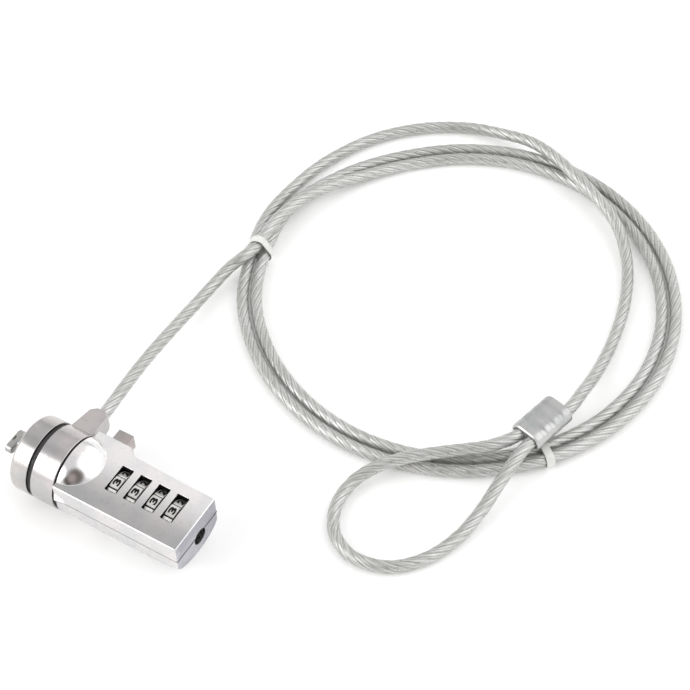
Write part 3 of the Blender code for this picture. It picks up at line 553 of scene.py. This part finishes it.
def rounded_copy(node, width, look, where=lambda point: True):
    """A CAD node with its sharp edges rounded, where both ends of an edge pass the test in millimetres."""
    least_angle, flat_angle, weld = math.radians(35), math.radians(1), 0.002
    shape = bmesh.new()
    shape.from_mesh(frame["nodes"][node].data)
    bmesh.ops.translate(shape, vec=-AXIS, verts=shape.verts)
    bmesh.ops.scale(shape, vec=(1 / MM, 1 / MM, 1 / MM), verts=shape.verts)
    bmesh.ops.remove_doubles(shape, verts=shape.verts, dist=weld)
    bmesh.ops.dissolve_limit(shape, angle_limit=flat_angle, verts=shape.verts, edges=shape.edges)

    def sharp(edge):
        return (len(edge.link_faces) == 2 and edge.calc_face_angle() > least_angle
                and all(where(vert.co) for vert in edge.verts))

    round_edges(shape, sharp, width, 3)
    return show(f"{node}_finish", shape, look, BODY_OF[node], [node])


# ---------------------------------------------------------------- case


def case_cavities():
    """What both shells are hollowed by: the dials' bay, the hub's bore and the reset screw's bore."""
    side = math.degrees(math.asin(CEILING_Z / BAY_R))
    bay = arc((0, 0), BAY_R, 180 - side, 360 + side, 48)
    return [prism("X", BAY_X, bay), rod("X", (CASE_X[0] - 1, BAY_X[0] + 0.5), HUB_BORE_R, steps=64),
            rod("X", (BAY_X[1] - 0.5, CASE_X[1] + 1), RESET_BORE_R)]


def is_tail(centre, normal):
    return normal.x > 0.8 and centre.x > CASE_X[1] - EDGE_SLACK


def upper_block():
    """The upper case without its dome, with its top and tail edges rounded and a chamfer at the seam."""
    left, right = CASE_X
    plan = [(left, NEAR_Y), (right, NEAR_Y), (right, FAR_Y), (DIAL_ZONE_X, FAR_Y)]
    plan += [(SHOULDER_END_X, SHOULDER_Y), (left, SHOULDER_Y)]
    shell = prism("Z", (UPPER_BOTTOM_Z, TOP_Z), plan)

    def top_or_tail(edge):
        first, second = (vert.co for vert in edge.verts)
        top = min(first.z, second.z) > TOP_Z - EDGE_SLACK and max(first.x, second.x) > left + EDGE_SLACK
        tail = abs(first.z - second.z) > 1 and first.x > right - EDGE_SLACK
        return top or tail

    def at_seam(edge):
        ends = [vert.co for vert in edge.verts]
        low = all(end.z < UPPER_BOTTOM_Z + FACE_SLACK and end.x > left + EDGE_SLACK for end in ends)
        return low and len(edge.link_faces) == 2

    round_edges(shell, top_or_tail, EDGE_ROUNDING)
    round_edges(shell, at_seam, SEAM_CHAMFER, 1)
    return shell


def half_dome():
    """A ball as wide as the drum, cut off flat at the drum's side and at the seam."""
    left, last_angle = CASE_X[0], 88
    curve = arc((0, 0), DRUM_R, math.degrees(math.asin(left / DRUM_R)), last_angle, 30)
    dome = turned([(left, 0), *[(x, radius) for radius, x in curve], (DRUM_R, 0)])
    seam = (0, 0, UPPER_BOTTOM_Z)
    bmesh.ops.bisect_plane(dome, geom=everything(dome), plane_co=seam, plane_no=(0, 0, -1), clear_outer=True)
    bmesh.ops.holes_fill(dome, edges=[edge for edge in dome.edges if edge.is_boundary])
    return dome


def button_rooms():
    """What cuts room for the button's stem, and for its block through the shoulder's wall."""
    stem_x = (BUTTON_X[0] - STEM_GAP, BUTTON_X[1] + STEM_GAP)
    return [box(stem_x, STEM_ROOM_Y, (0, CEILING_Z - STEM_CEILING_GAP)),
            box(BLOCK_ROOM_X, BLOCK_ROOM_Y, (0, BUTTON_TOP_Z + BLOCK_GAP))]


def dial_window(place_x):
    """What cuts a window: corners rounded, and widening from just under the case's top."""
    half, above = WINDOW_X / 2, 0.5
    levels = [(WINDOW_LOW_Z, 0), (TOP_Z - WINDOW_CHAMFER, 0), (TOP_Z + above, WINDOW_CHAMFER + above)]
    outlines = []
    for z, wider in levels:
        outline = rounded_rectangle((place_x - half - wider, place_x + half + wider),
                                    (WINDOW_Y[0] - wider, WINDOW_Y[1] + wider), WINDOW_CORNER + wider)
        outlines.append([(x, y, z) for x, y in outline])
    return loft(outlines)


def make_upper_case():
    """The upper case: painted shade on the walls in the windows and on its end face, and a painted shadow
    along the seam that reaches a little way in.
    """
    cutters = case_cavities() + button_rooms() + [dial_window(place_x) for place_x in DIAL_PLACES]
    steps = [("UNION", half_dome())] + [("DIFFERENCE", cutter) for cutter in cutters]
    shell = combined("upper_case_work", upper_block(), steps)
    case = show("upper_case_finish", shell, "case", "case", ["upper_case"])
    seam_reach = 0.5

    def chosen(centre, normal):
        in_window = (any(abs(centre.x - place_x) < WINDOW_X / 2 + FACE_SLACK for place_x in DIAL_PLACES)
                     and WINDOW_Y[0] - FACE_SLACK < centre.y < WINDOW_Y[1] + FACE_SLACK
                     and WINDOW_LOW_Z - EDGE_SLACK < centre.z < TOP_Z - FACE_SLACK)
        from_outside = min(SHOULDER_Y - centre.y, centre.y - NEAR_Y, CASE_X[1] - centre.x)
        # Painted shade: the window walls are painted black, the seam gets a painted shadow and the end face
        # the painted-shade look
        if in_window and abs(normal.z) < 0.9:
            return "black"
        if centre.z < UPPER_BOTTOM_Z + SEAM_CHAMFER and from_outside < seam_reach:
            return "seam"
        return "tail" if is_tail(centre, normal) else None

    paint(case, ["black", "tail", "seam"], chosen)


def lower_section(x, far):
    """Outline of the lower case at x: straight walls under the seam, then half an ellipse."""
    into_corner = max(0.0, x - CASE_X[1] + EDGE_ROUNDING)
    inset = EDGE_ROUNDING - math.sqrt(max(0.0, EDGE_ROUNDING**2 - into_corner**2))
    near, far = NEAR_Y + inset, far - inset
    along = max(0.0, (x - BELLY_END_X) / (CASE_X[1] - BELLY_END_X))
    bottom_z = END_BOTTOM_Z + (BELLY_Z - END_BOTTOM_Z) * math.sqrt(max(0.0, 1 - along * along))
    centre, half, depth = (near + far) / 2, (far - near) / 2, WALL_LOW_Z - bottom_z
    below_chamfer = LOWER_TOP_Z - SEAM_CHAMFER
    outline = [(near + SEAM_CHAMFER, LOWER_TOP_Z), (far - SEAM_CHAMFER, LOWER_TOP_Z), (far, below_chamfer)]
    outline += [(centre + half * u, WALL_LOW_Z - depth * v) for u, v in arc((0, 0), 1, 0, 180, 48)]
    return [(x, y, z) for y, z in [*outline, (near, below_chamfer)]]


def screw_holes():
    holes = []
    for number in (1, 2, 3):
        screw = f"case_screw_{number}"
        centre = ((middle(screw) - AXIS) / MM)[:2]
        head_z = span(screw, "Z")[0] + SCREW_HEAD_HEIGHT
        holes.append(rod("Z", (BELLY_Z - 1, head_z + 0.1), SCREW_HEAD_HOLE_R, centre, 32))
        holes.append(rod("Z", (head_z - 0.5, PARTING_Z + 1), SCREW_SHANK_HOLE_R, centre, 24))
    return holes


def make_lower_case():
    length, end_steps = CASE_X[1] - BELLY_END_X, 20
    stations = [(CASE_X[0], SHOULDER_Y), (SHOULDER_END_X, SHOULDER_Y), (DIAL_ZONE_X, FAR_Y)]
    for step in range(end_steps + 1):
        stations.append((BELLY_END_X + length * math.sin(math.radians(90 * step / end_steps)), FAR_Y))
    shell = loft([lower_section(x, far) for x, far in stations])
    steps = [("DIFFERENCE", cutter) for cutter in case_cavities() + screw_holes()]
    shell = combined("lower_case_work", shell, steps)
    case = show("lower_case_finish", shell, "case", "case", ["lower_case"])

    def chosen(centre, normal):
        # Painted shadow along the seam, and painted shade on the end face
        if centre.z > LOWER_TOP_Z - SEAM_CHAMFER + 0.001:
            return "seam"
        return "tail" if is_tail(centre, normal) else None

    paint(case, ["tail", "seam"], chosen)


# ---------------------------------------------------------------- drum end


def make_end_cap():
    face, back = CAP_X
    front = arc((face + CAP_ROUNDING, DRUM_R - CAP_ROUNDING), CAP_ROUNDING, 90, 180, 12)
    rear = arc((back - CAP_BACK_ROUNDING, DRUM_R - CAP_BACK_ROUNDING), CAP_BACK_ROUNDING, 0, 90, 4)
    profile = [(back, CAP_POCKET_R), *rear, *front, (face, 0)]
    cap = turned([*profile, (face + CAP_WALL, 0), (face + CAP_WALL, CAP_POCKET_R)], steps=128)
    outline = rounded_rectangle((-SLOT_HALF_WIDTH, SLOT_HALF_WIDTH), (-SLOT_HALF_LENGTH, SLOT_HALF_LENGTH),
                                SLOT_CORNER)
    slot = prism("X", (face - 1, face + CAP_WALL + 0.5), outline)
    cap = combined("end_cap_work", cap, [("DIFFERENCE", slot)])
    show("end_cap_finish", cap, "cap", "case", ["end_cap"])


def lug():
    """The block that the cable leaves from: narrower and lower towards its rounded tip."""
    wide, narrow = LUG_HALF_WIDTH
    inside, corner_y = LUG_BASE_Y - LUG_DEPTH_IN_RING, LUG_TIP_Y - LUG_CORNER
    plan = [(LUG_X + wide, inside), (LUG_X + wide, LUG_BASE_Y)]
    plan += arc((LUG_X + narrow - LUG_CORNER, corner_y), LUG_CORNER, 0, 90, 8)
    plan += arc((LUG_X - narrow + LUG_CORNER, corner_y), LUG_CORNER, 90, 180, 8)
    plan += [(LUG_X - wide, LUG_BASE_Y), (LUG_X - wide, inside)]

    def height(y, ends):
        return ends[0] + (ends[1] - ends[0]) * (y - LUG_BASE_Y) / (LUG_TIP_Y - LUG_BASE_Y)

    def top_or_bottom(edge):
        first, second = (vert.co for vert in edge.verts)
        return abs(first.z - second.z) < 2 and max(first.y, second.y) > LUG_BASE_Y - 0.5

    shape = loft([[(x, y, height(y, ends)) for x, y in plan] for ends in (LUG_BOTTOM_Z, LUG_TOP_Z)])
    round_edges(shape, top_or_bottom, LUG_ROUNDING)
    return shape


def make_swivel_ring():
    left, right = RING_X
    edge_r = DRUM_R - RING_ROUNDING
    profile = [(left, HUB_BORE_R), *arc((left + RING_ROUNDING, edge_r), RING_ROUNDING, 180, 90, 4)]
    profile += [*arc((right - RING_ROUNDING, edge_r), RING_ROUNDING, 90, 0, 4), (right, HUB_BORE_R)]
    mouth = rod("Y", (STOP_BORE_Y[1] - 0.5, LUG_TIP_Y + 2), LUG_BORE_R, (LUG_X, LUG_Z))
    stop_room = rod("Y", STOP_BORE_Y, STOP_BORE_R, (LUG_X, LUG_Z))
    steps = [("UNION", lug()), ("DIFFERENCE", mouth), ("DIFFERENCE", stop_room)]
    shape = combined("swivel_ring_work", turned(profile, steps=128), steps)
    show("swivel_ring_finish", shape, "ring", "cable_assembly", ["swivel_ring"])


# ---------------------------------------------------------------- dials


def pad_angle(number):
    """Where a pad is on its dial, in degrees from the top towards the near side."""
    return PAD_TURN + 360 / DIGITS * number


def pad(number, place_x):
    """One raised pad of a dial: bevelled, following the dial's curve and rooted a little way in the core."""
    steps, middle_angle, root = 8, 90 + pad_angle(number), 0.1
    rows = []
    for inset, radius in ((0.0, DIAL_R - PAD_DEPTH - root), (0.0, DIAL_R - PAD_BEVEL), (PAD_BEVEL, DIAL_R)):
        left, right = place_x + PAD_X[0] + inset, place_x + PAD_X[1] - inset
        half_angle = PAD_HALF_ANGLE - math.degrees(inset / DIAL_R)
        curve = arc((0, 0), radius, middle_angle - half_angle, middle_angle + half_angle, steps)
        rows.append([(left, y, z) for y, z in curve] + [(right, y, z) for y, z in curve[::-1]])
    shape = bmesh.new()
    rings = [[shape.verts.new(point) for point in row] for row in rows]
    count = len(rings[0])
    for first, second in zip(rings, rings[1:]):
        for i in range(count):
            j = (i + 1) % count
            shape.faces.new((first[i], first[j], second[j], second[i]))
    for ring in (rings[0], rings[-1]):
        for i in range(steps):
            shape.faces.new((ring[i], ring[i + 1], ring[count - 2 - i], ring[count - 1 - i]))
    return shape


def flat_digit(text):
    """The outline of a number, a thin solid cut into slices so that it can bend."""
    curve = bpy.data.curves.new("digit", "FONT")
    curve.body, curve.size = text, DIGIT_HEIGHT / FONT_CAP_HEIGHT
    curve.resolution_u, curve.offset, curve.extrude = 3, DIGIT_BOLDNESS, DIGIT_THICKNESS
    carrier = bpy.data.objects.new("digit", curve)
    bpy.context.scene.collection.objects.link(carrier)
    graph = bpy.context.evaluated_depsgraph_get()
    mesh = bpy.data.meshes.new_from_object(carrier.evaluated_get(graph))
    bpy.data.objects.remove(carrier)
    shape = bmesh.new()
    shape.from_mesh(mesh)
    slices, slice_width = 15, 0.15
    for number in range(1, slices + 1):
        bmesh.ops.bisect_plane(shape, geom=everything(shape), plane_co=(slice_width * number, 0, 0),
                               plane_no=(1, 0, 0))
    return shape


def digit(text, number, place_x):
    """A number on its pad, wrapped round the dial's surface with its top towards the T-bar. Only a 1 keeps
    its own width.
    """
    shape, clear = flat_digit(text), 0.005
    low = Vector([min(vert.co[i] for vert in shape.verts) for i in range(3)])
    high = Vector([max(vert.co[i] for vert in shape.verts) for i in range(3)])
    centre, size = (low + high) / 2, high - low
    wider, taller = 1.0 if text == "1" else DIGIT_WIDTH / size.x, DIGIT_HEIGHT / size.y
    turn = math.radians(pad_angle(number))
    for vert in shape.verts:
        right, up = (vert.co.x - centre.x) * wider, (vert.co.y - centre.y) * taller
        angle, radius = turn - right / DIAL_R, DIAL_R + clear + vert.co.z
        vert.co = (place_x + sum(PAD_X) / 2 - up, -radius * math.sin(angle), radius * math.cos(angle))
    return shape


def make_dials():
    """Four dials. The first digit is at the top, and digits rise towards the near side."""
    core_r = DIAL_R - PAD_DEPTH
    for number, place_x in enumerate(DIAL_PLACES, 1):
        body = f"dial_{number}_body"
        left, right = place_x - DIAL_WIDTH / 2, place_x + DIAL_WIDTH / 2
        profile = [(left, DIAL_BORE_R), (left, core_r - CORE_BEVEL), (left + CORE_BEVEL, core_r)]
        profile += [(right - CORE_BEVEL, core_r), (right, core_r - CORE_BEVEL), (right, DIAL_BORE_R)]
        core = turned(profile, steps=60)
        show(f"dial_{number}_core", core, "black", body, [f"dial_{number}"])
        pads = merged([pad(step, place_x) for step in range(DIGITS)])
        show(f"dial_{number}_pads", pads, "pads", body)
        numbers = [str((FIRST_DIGIT + step) % DIGITS) for step in range(DIGITS)]
        digits = merged([digit(text, step, place_x) for step, text in enumerate(numbers)])
        show(f"dial_{number}_digits", digits, "digits", body, weighted=False)


# ---------------------------------------------------------------- cable


def polar(radius, degrees, height):
    angle = math.radians(degrees)
    return COIL_CENTRE + Vector((radius * math.cos(angle), radius * math.sin(angle), height))


def nearness(degrees, centre, width):
    """1 at one angle of the coil, falling to 0 away from it."""
    away = (degrees - centre + 180) % 360 - 180
    return math.exp(-((away / width) ** 2))


def on_coil(offset, degrees, height):
    """A point beside the coil's middle line, a circle that bulges at the first tie and is flatter after."""
    bulge = sum(size * nearness(degrees, angle, width) for angle, width, size in COIL_BULGES)
    return polar(COIL_R + bulge + offset, degrees, height)


def strand(offset, degrees):
    """A point of a coiled strand, which is lifted by the thickness of a tie near each tie."""
    lift = max(nearness(degrees, tie, TIE_REACH) for tie in (TIE_1_ANGLE, TIE_2_ANGLE))
    return on_coil(offset, degrees, LYING_Z + (TIED_Z - LYING_Z) * lift)


def coil_angles(turn):
    """Angles of one turn, which runs clockwise from the first tie and has a point at each tie."""
    to_tie = (TIE_1_ANGLE - TIE_2_ANGLE) / STEPS_TIE_TO_TIE
    onward = (360 - TIE_1_ANGLE + TIE_2_ANGLE) / STEPS_ON
    first = [TIE_1_ANGLE - to_tie * i for i in range(STEPS_TIE_TO_TIE)]
    return [a - 360 * turn for a in first + [TIE_2_ANGLE - onward * i for i in range(STEPS_ON)]]


def lead_points():
    """From the lug down to the surface, up over the bundle at the first tie, and to the coil's inside."""
    down = [(-0.0128, 0.00735, 0.014), (-0.0128, 0.01525, 0.014), (-0.0138, 0.02395, 0.0131)]
    down += [(-0.0156, 0.03395, 0.0107), (-0.0172, 0.04505, 0.008), (-0.0182, 0.05625, 0.0057)]
    down += [(-0.0188, 0.06645, 0.0039), (-0.0186, 0.07595, 0.0036), (-0.0174, 0.08355, 0.005)]
    side = STRAND_GAP / 2
    first, second, third = coil_angles(0)[:3]
    over = [on_coil(0.0024, 199.6, 0.0065), on_coil(0, first, NESTED_Z)]
    over += [on_coil(-0.00105, (first + second) / 2, 0.0065), on_coil(-0.00185, second, 0.0063)]
    over += [on_coil(-side, (second + third) / 2, 0.0049), on_coil(-side, third, 0.0031)]
    return down + over


def coil_points():
    """The two turns that lie side by side. The cable moves one strand outwards after the first tie."""
    side = STRAND_GAP / 2
    first = [strand(-side, angle) for angle in coil_angles(0)[3:]]
    second = []
    for angle in coil_angles(1):
        moved = min(1.0, (TIE_1_ANGLE - 360 - angle) / TIE_REACH)
        second.append(strand(-side + STRAND_GAP * moved, angle))
    return first + second + [strand(side, TIE_1_ANGLE)]


def last_pass_points():
    """Third pass: outside the coil, then across both strands to its inside and the crimp."""
    outside = [(-0.0206, 0.10975, 0.0021), (-0.0200, 0.12495, 0.0019), (-0.0171, 0.13875, 0.00185)]
    outside += [(-0.0100, 0.15415, 0.00185), (0.0010, 0.16645, 0.00185), (0.0139, 0.17435, 0.0019)]
    outside += [(0.0263, 0.17655, 0.0032), (0.0362, 0.17575, 0.0053)]
    across = [(0.0452, 0.17315, 0.0061), (0.0546, 0.16895, 0.0062), (0.0644, 0.16415, 0.006)]
    inside = [(0.0750, 0.15765, 0.0044), (0.0840, 0.14655, 0.0024), (0.0900, 0.13215, 0.0019)]
    inside += [(0.0932, 0.11715, 0.002), (0.0945, 0.10375, 0.0034), (0.0948, 0.09305, 0.0062)]
    return outside + across + inside


def ferrule_point(along, side=0, height=0.0):
    """A point by the crimp: `along` from the end where the eye begins, side -1 or 1 for the bore."""
    angle = math.radians(FERRULE_ANGLE)
    direction = Vector((math.cos(angle), math.sin(angle), 0))
    across = Vector((-direction.y, direction.x, 0))
    return FERRULE_END + direction * along + across * side * FERRULE_BORE_OFFSET + Vector((0, 0, height))


def eye_points():
    """Through the crimp, round the eye and back into the crimp."""
    out = [ferrule_point(along, -1) for along in (FERRULE_LENGTH + 0.002, FERRULE_LENGTH / 2, -0.0015)]
    eye = [(0.0896, 0.06155, 0.0073), (0.0890, 0.05375, 0.0056), (0.0884, 0.04535, 0.0035)]
    eye += [(0.0867, 0.03595, 0.0021), (0.0828, 0.02635, 0.00185), (0.0756, 0.01875, 0.00185)]
    eye += [(0.0659, 0.01635, 0.00185), (0.0577, 0.02015, 0.00185), (0.0534, 0.02765, 0.0019)]
    eye += [(0.0534, 0.03535, 0.003), (0.0566, 0.04175, 0.0047), (0.0618, 0.04735, 0.0062)]
    eye += [(0.0679, 0.05255, 0.0067), (0.0743, 0.05735, 0.0071), (0.0801, 0.06155, 0.0076)]
    eye += [(0.0837, 0.06515, 0.008)]
    back = [ferrule_point(along, 1) for along in (-0.001, FERRULE_LENGTH / 2, FERRULE_LENGTH - 0.002)]
    return out + eye + back


def smooth_line(points, step):
    """Points about a step apart on a smooth curve through the given ones."""
    points = [2 * points[0] - points[1], *points, 2 * points[-1] - points[-2]]
    line = []
    for before, start, end, after in zip(points, points[1:], points[2:], points[3:]):
        count = max(1, round((end - start).length / step))
        for i in range(count):
            t = i / count
            linear, square = end - before, 2 * before - 5 * start + 4 * end - after
            cube = 3 * start - before - 3 * end + after
            line.append(0.5 * (2 * start + linear * t + square * t * t + cube * t**3))
    return line + [points[-2]]


def rope_mesh(line):
    """A lobed section swept along the line with a right-hand twist, and a map of strands and millimetres."""
    shape = bmesh.new()
    layer = shape.loops.layers.uv.new("strands")
    sideways, length, rings, lengths = Vector((1, 0, 0)), 0.0, [], []
    for i, point in enumerate(line):
        tangent = (line[min(i + 1, len(line) - 1)] - line[max(i - 1, 0)]).normalized()
        sideways = (sideways - tangent * sideways.dot(tangent)).normalized()
        other = tangent.cross(sideways)
        length += (point - line[i - 1]).length if i else 0.0
        ring = []
        for j in range(ROPE_SIDES):
            angle = 2 * math.pi * j / ROPE_SIDES
            radius = CABLE_D / 2 * (1 - STRAND_RELIEF + STRAND_RELIEF * abs(math.cos(angle * STRANDS / 2)))
            twisted = angle + 2 * math.pi * length / LAY
            outward = math.cos(twisted) * sideways + math.sin(twisted) * other
            ring.append(shape.verts.new(point + radius * outward))
        rings.append(ring)
        lengths.append(length / MM)
    for first, second, start, end in zip(rings, rings[1:], lengths, lengths[1:]):
        for i in range(ROPE_SIDES):
            j = (i + 1) % ROPE_SIDES
            face = shape.faces.new((first[i], first[j], second[j], second[i]))
            for loop, (u, v) in zip(face.loops, ((i, start), (i + 1, start), (i + 1, end), (i, end))):
                loop[layer].uv = (u * STRANDS / ROPE_SIDES + 0.5, v)
    shape.faces.new(rings[0][::-1])
    shape.faces.new(rings[-1])
    return shape, lengths[-1] * MM


def make_rope():
    route = [Vector(point) for point in lead_points() + coil_points() + last_pass_points() + eye_points()]
    line = smooth_line(route, ROPE_STEP)
    shape, length = rope_mesh(line)
    rope = show("rope", shape, "rope", "cable_assembly", ["cable"], scale=1.0, origin=Vector(),
                weighted=False, sharp=75)
    return rope, line, length


def crimped_sections():
    """Sections of an oval sleeve with rounded mouths and crimps pressed across it."""
    count, sections = 40, []
    for i in range(count + 1):
        along = FERRULE_LENGTH * i / count
        from_end = min(along, FERRULE_LENGTH - along)
        radius = FERRULE_R - MOUTH_DEPTH * (1 - min(1.0, from_end / MOUTH_LENGTH)) ** 2
        away = [(along - FERRULE_LENGTH * part) / CRIMP_HALF_WIDTH for part in CRIMP_PLACES]
        flatter = 1 - sum(CRIMP_DEPTH * math.exp(-(distance**4)) for distance in away) / FERRULE_R
        section = []
        for side, start in ((1, -90), (-1, 90)):
            for y, z in arc((side * FERRULE_BORE_OFFSET, 0), radius, start, start + 180, 20):
                section.append(ferrule_point(along, y / FERRULE_BORE_OFFSET, z * flatter))
        sections.append(section)
    return sections


def make_sleeve():
    steps, past_end = [], 0.002
    turn = Matrix.Rotation(math.radians(FERRULE_ANGLE), 3, "Z")
    for side in (-1, 1):
        centre = (side * FERRULE_BORE_OFFSET, 0)
        bore = rod("X", (-past_end, FERRULE_LENGTH + past_end), FERRULE_BORE_R, centre, 32)
        bmesh.ops.rotate(bore, matrix=turn, verts=bore.verts)
        bmesh.ops.translate(bore, vec=FERRULE_END, verts=bore.verts)
        steps.append(("DIFFERENCE", bore))
    shape = combined("sleeve_work", loft(crimped_sections()), steps)
    return show("crimp_sleeve", shape, "crimp", "cable_assembly", ["crimp_ferrule"], scale=1.0,
                origin=Vector())


def make_cable():
    rope, line, length = make_rope()
    sleeve = make_sleeve()
    ties = [rounded_copy(tie, 0.1, "tie") for tie in ("tie_1", "tie_2")]
    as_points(line)


# ---------------------------------------------------------------- small pieces and CAD nodes that stay


def make_small_pieces():
    rounded_copy("release_button", 0.4, "button", lambda point: point.y > SHOULDER_Y + 0.2)
    rounded_copy("t_bar", 0.3, "steel", lambda point: point.x < CAP_X[0] - 1)
    rounded_copy("slot_guide", 0.12, "steel")
    for number in (1, 2, 3):
        rounded_copy(f"case_screw_{number}", 0.12, "steel")


def finish_cad_nodes():
    """Gives every CAD node a look by its name without its number. Those not named here are steel."""
    looks = {"front_washer": "rubber", "rear_washer": "rubber", "divider": "rubber", "reset_screw": "socket",
             "pinion": "brass", "clutch_sleeve": "brass"}
    for name, node in frame["nodes"].items():
        kind = name.rstrip("_0123456789")
        for number in range(len(node.data.materials)):
            node.data.materials[number] = LOOKS[looks.get(kind, "steel")]


# ---------------------------------------------------------------- stage


def toward(azimuth, elevation):
    """A direction: azimuth from +X towards +Y, elevation above the floor, in degrees."""
    flat = math.cos(math.radians(elevation))
    turn = math.radians(azimuth)
    return Vector((flat * math.cos(turn), flat * math.sin(turn), math.sin(math.radians(elevation))))


def make_camera():
    data = bpy.data.cameras.new("camera")
    data.lens, data.sensor_width, data.clip_start = CAMERA_LENS, CAMERA_SENSOR, CAMERA_NEAREST
    camera = bpy.data.objects.new("camera", data)
    aim = (CAMERA_TARGET - CAMERA_PLACE).to_track_quat("-Z", "Y").to_matrix()
    turn = aim @ Matrix.Rotation(math.radians(CAMERA_ROLL), 3, "Z")
    camera.matrix_world = Matrix.Translation(CAMERA_PLACE) @ turn.to_4x4()
    bpy.context.scene.collection.objects.link(camera)
    bpy.context.scene.camera = camera


def make_floor():
    """A pale floor just under the lock, curving up into a wall far away on every side."""
    low = bounds_before[0][2] - FLOOR_GAP
    profile = [(low, 0.0), (low, FLOOR_R)]
    for angle in range(9, 90, 9):
        up, out = 1 - math.cos(math.radians(angle)), math.sin(math.radians(angle))
        profile.append((low + FLOOR_BEND_R * up, FLOOR_R + FLOOR_BEND_R * out))
    floor = solid("floor", turned(profile, "Z", FLOOR_SIDES, COIL_CENTRE[:2], closed=False))
    floor.data.shade_smooth()
    floor.data.materials.append(floor_look())


def make_light(name, azimuth, elevation, distance, size, power):
    """A square soft light that faces the lock from a direction."""
    direction = toward(azimuth, elevation)
    data = bpy.data.lights.new(name, "AREA")
    data.shape, data.size, data.energy = "SQUARE", size, power
    lamp = bpy.data.objects.new(name, data)
    lamp.location = AXIS + direction * distance
    lamp.rotation_euler = (-direction).to_track_quat("-Z", "Y").to_euler()
    bpy.context.scene.collection.objects.link(lamp)


def make_surroundings():
    """Soft light from all round, from a room that has darker and brighter patches."""
    world = bpy.data.worlds.new("surroundings")
    bpy.context.scene.world = world
    world.use_nodes = True
    room = Shading(world.node_tree)
    direction = room.add("ShaderNodeTexCoord").outputs["Generated"]
    colour = ROOM_COLOUR
    for azimuth, elevation, size, softness, patch in ROOM_PATCHES:
        along = room.add("ShaderNodeVectorMath", operation="DOT_PRODUCT")
        room.link(direction, along.inputs[0])
        along.inputs[1].default_value = toward(azimuth, elevation)
        edges = [math.cos(math.radians(angle)) for angle in (size + softness, max(0.0, size - softness))]
        colour = room.mix(room.spread(along.outputs["Value"], 0.0, 1.0, *edges), colour, patch)
    background = room.nodes["Background"]
    room.link(colour, background.inputs["Color"])
    background.inputs["Strength"].default_value = ROOM_STRENGTH


make_camera()
make_cable()
make_upper_case()
make_lower_case()
make_end_cap()
make_swivel_ring()
make_dials()
make_small_pieces()
finish_cad_nodes()

make_floor()
make_surroundings()
for light_name, settings in LIGHTS.items():
    make_light(light_name, *settings)
bpy.context.scene.view_settings.view_transform = "Standard"
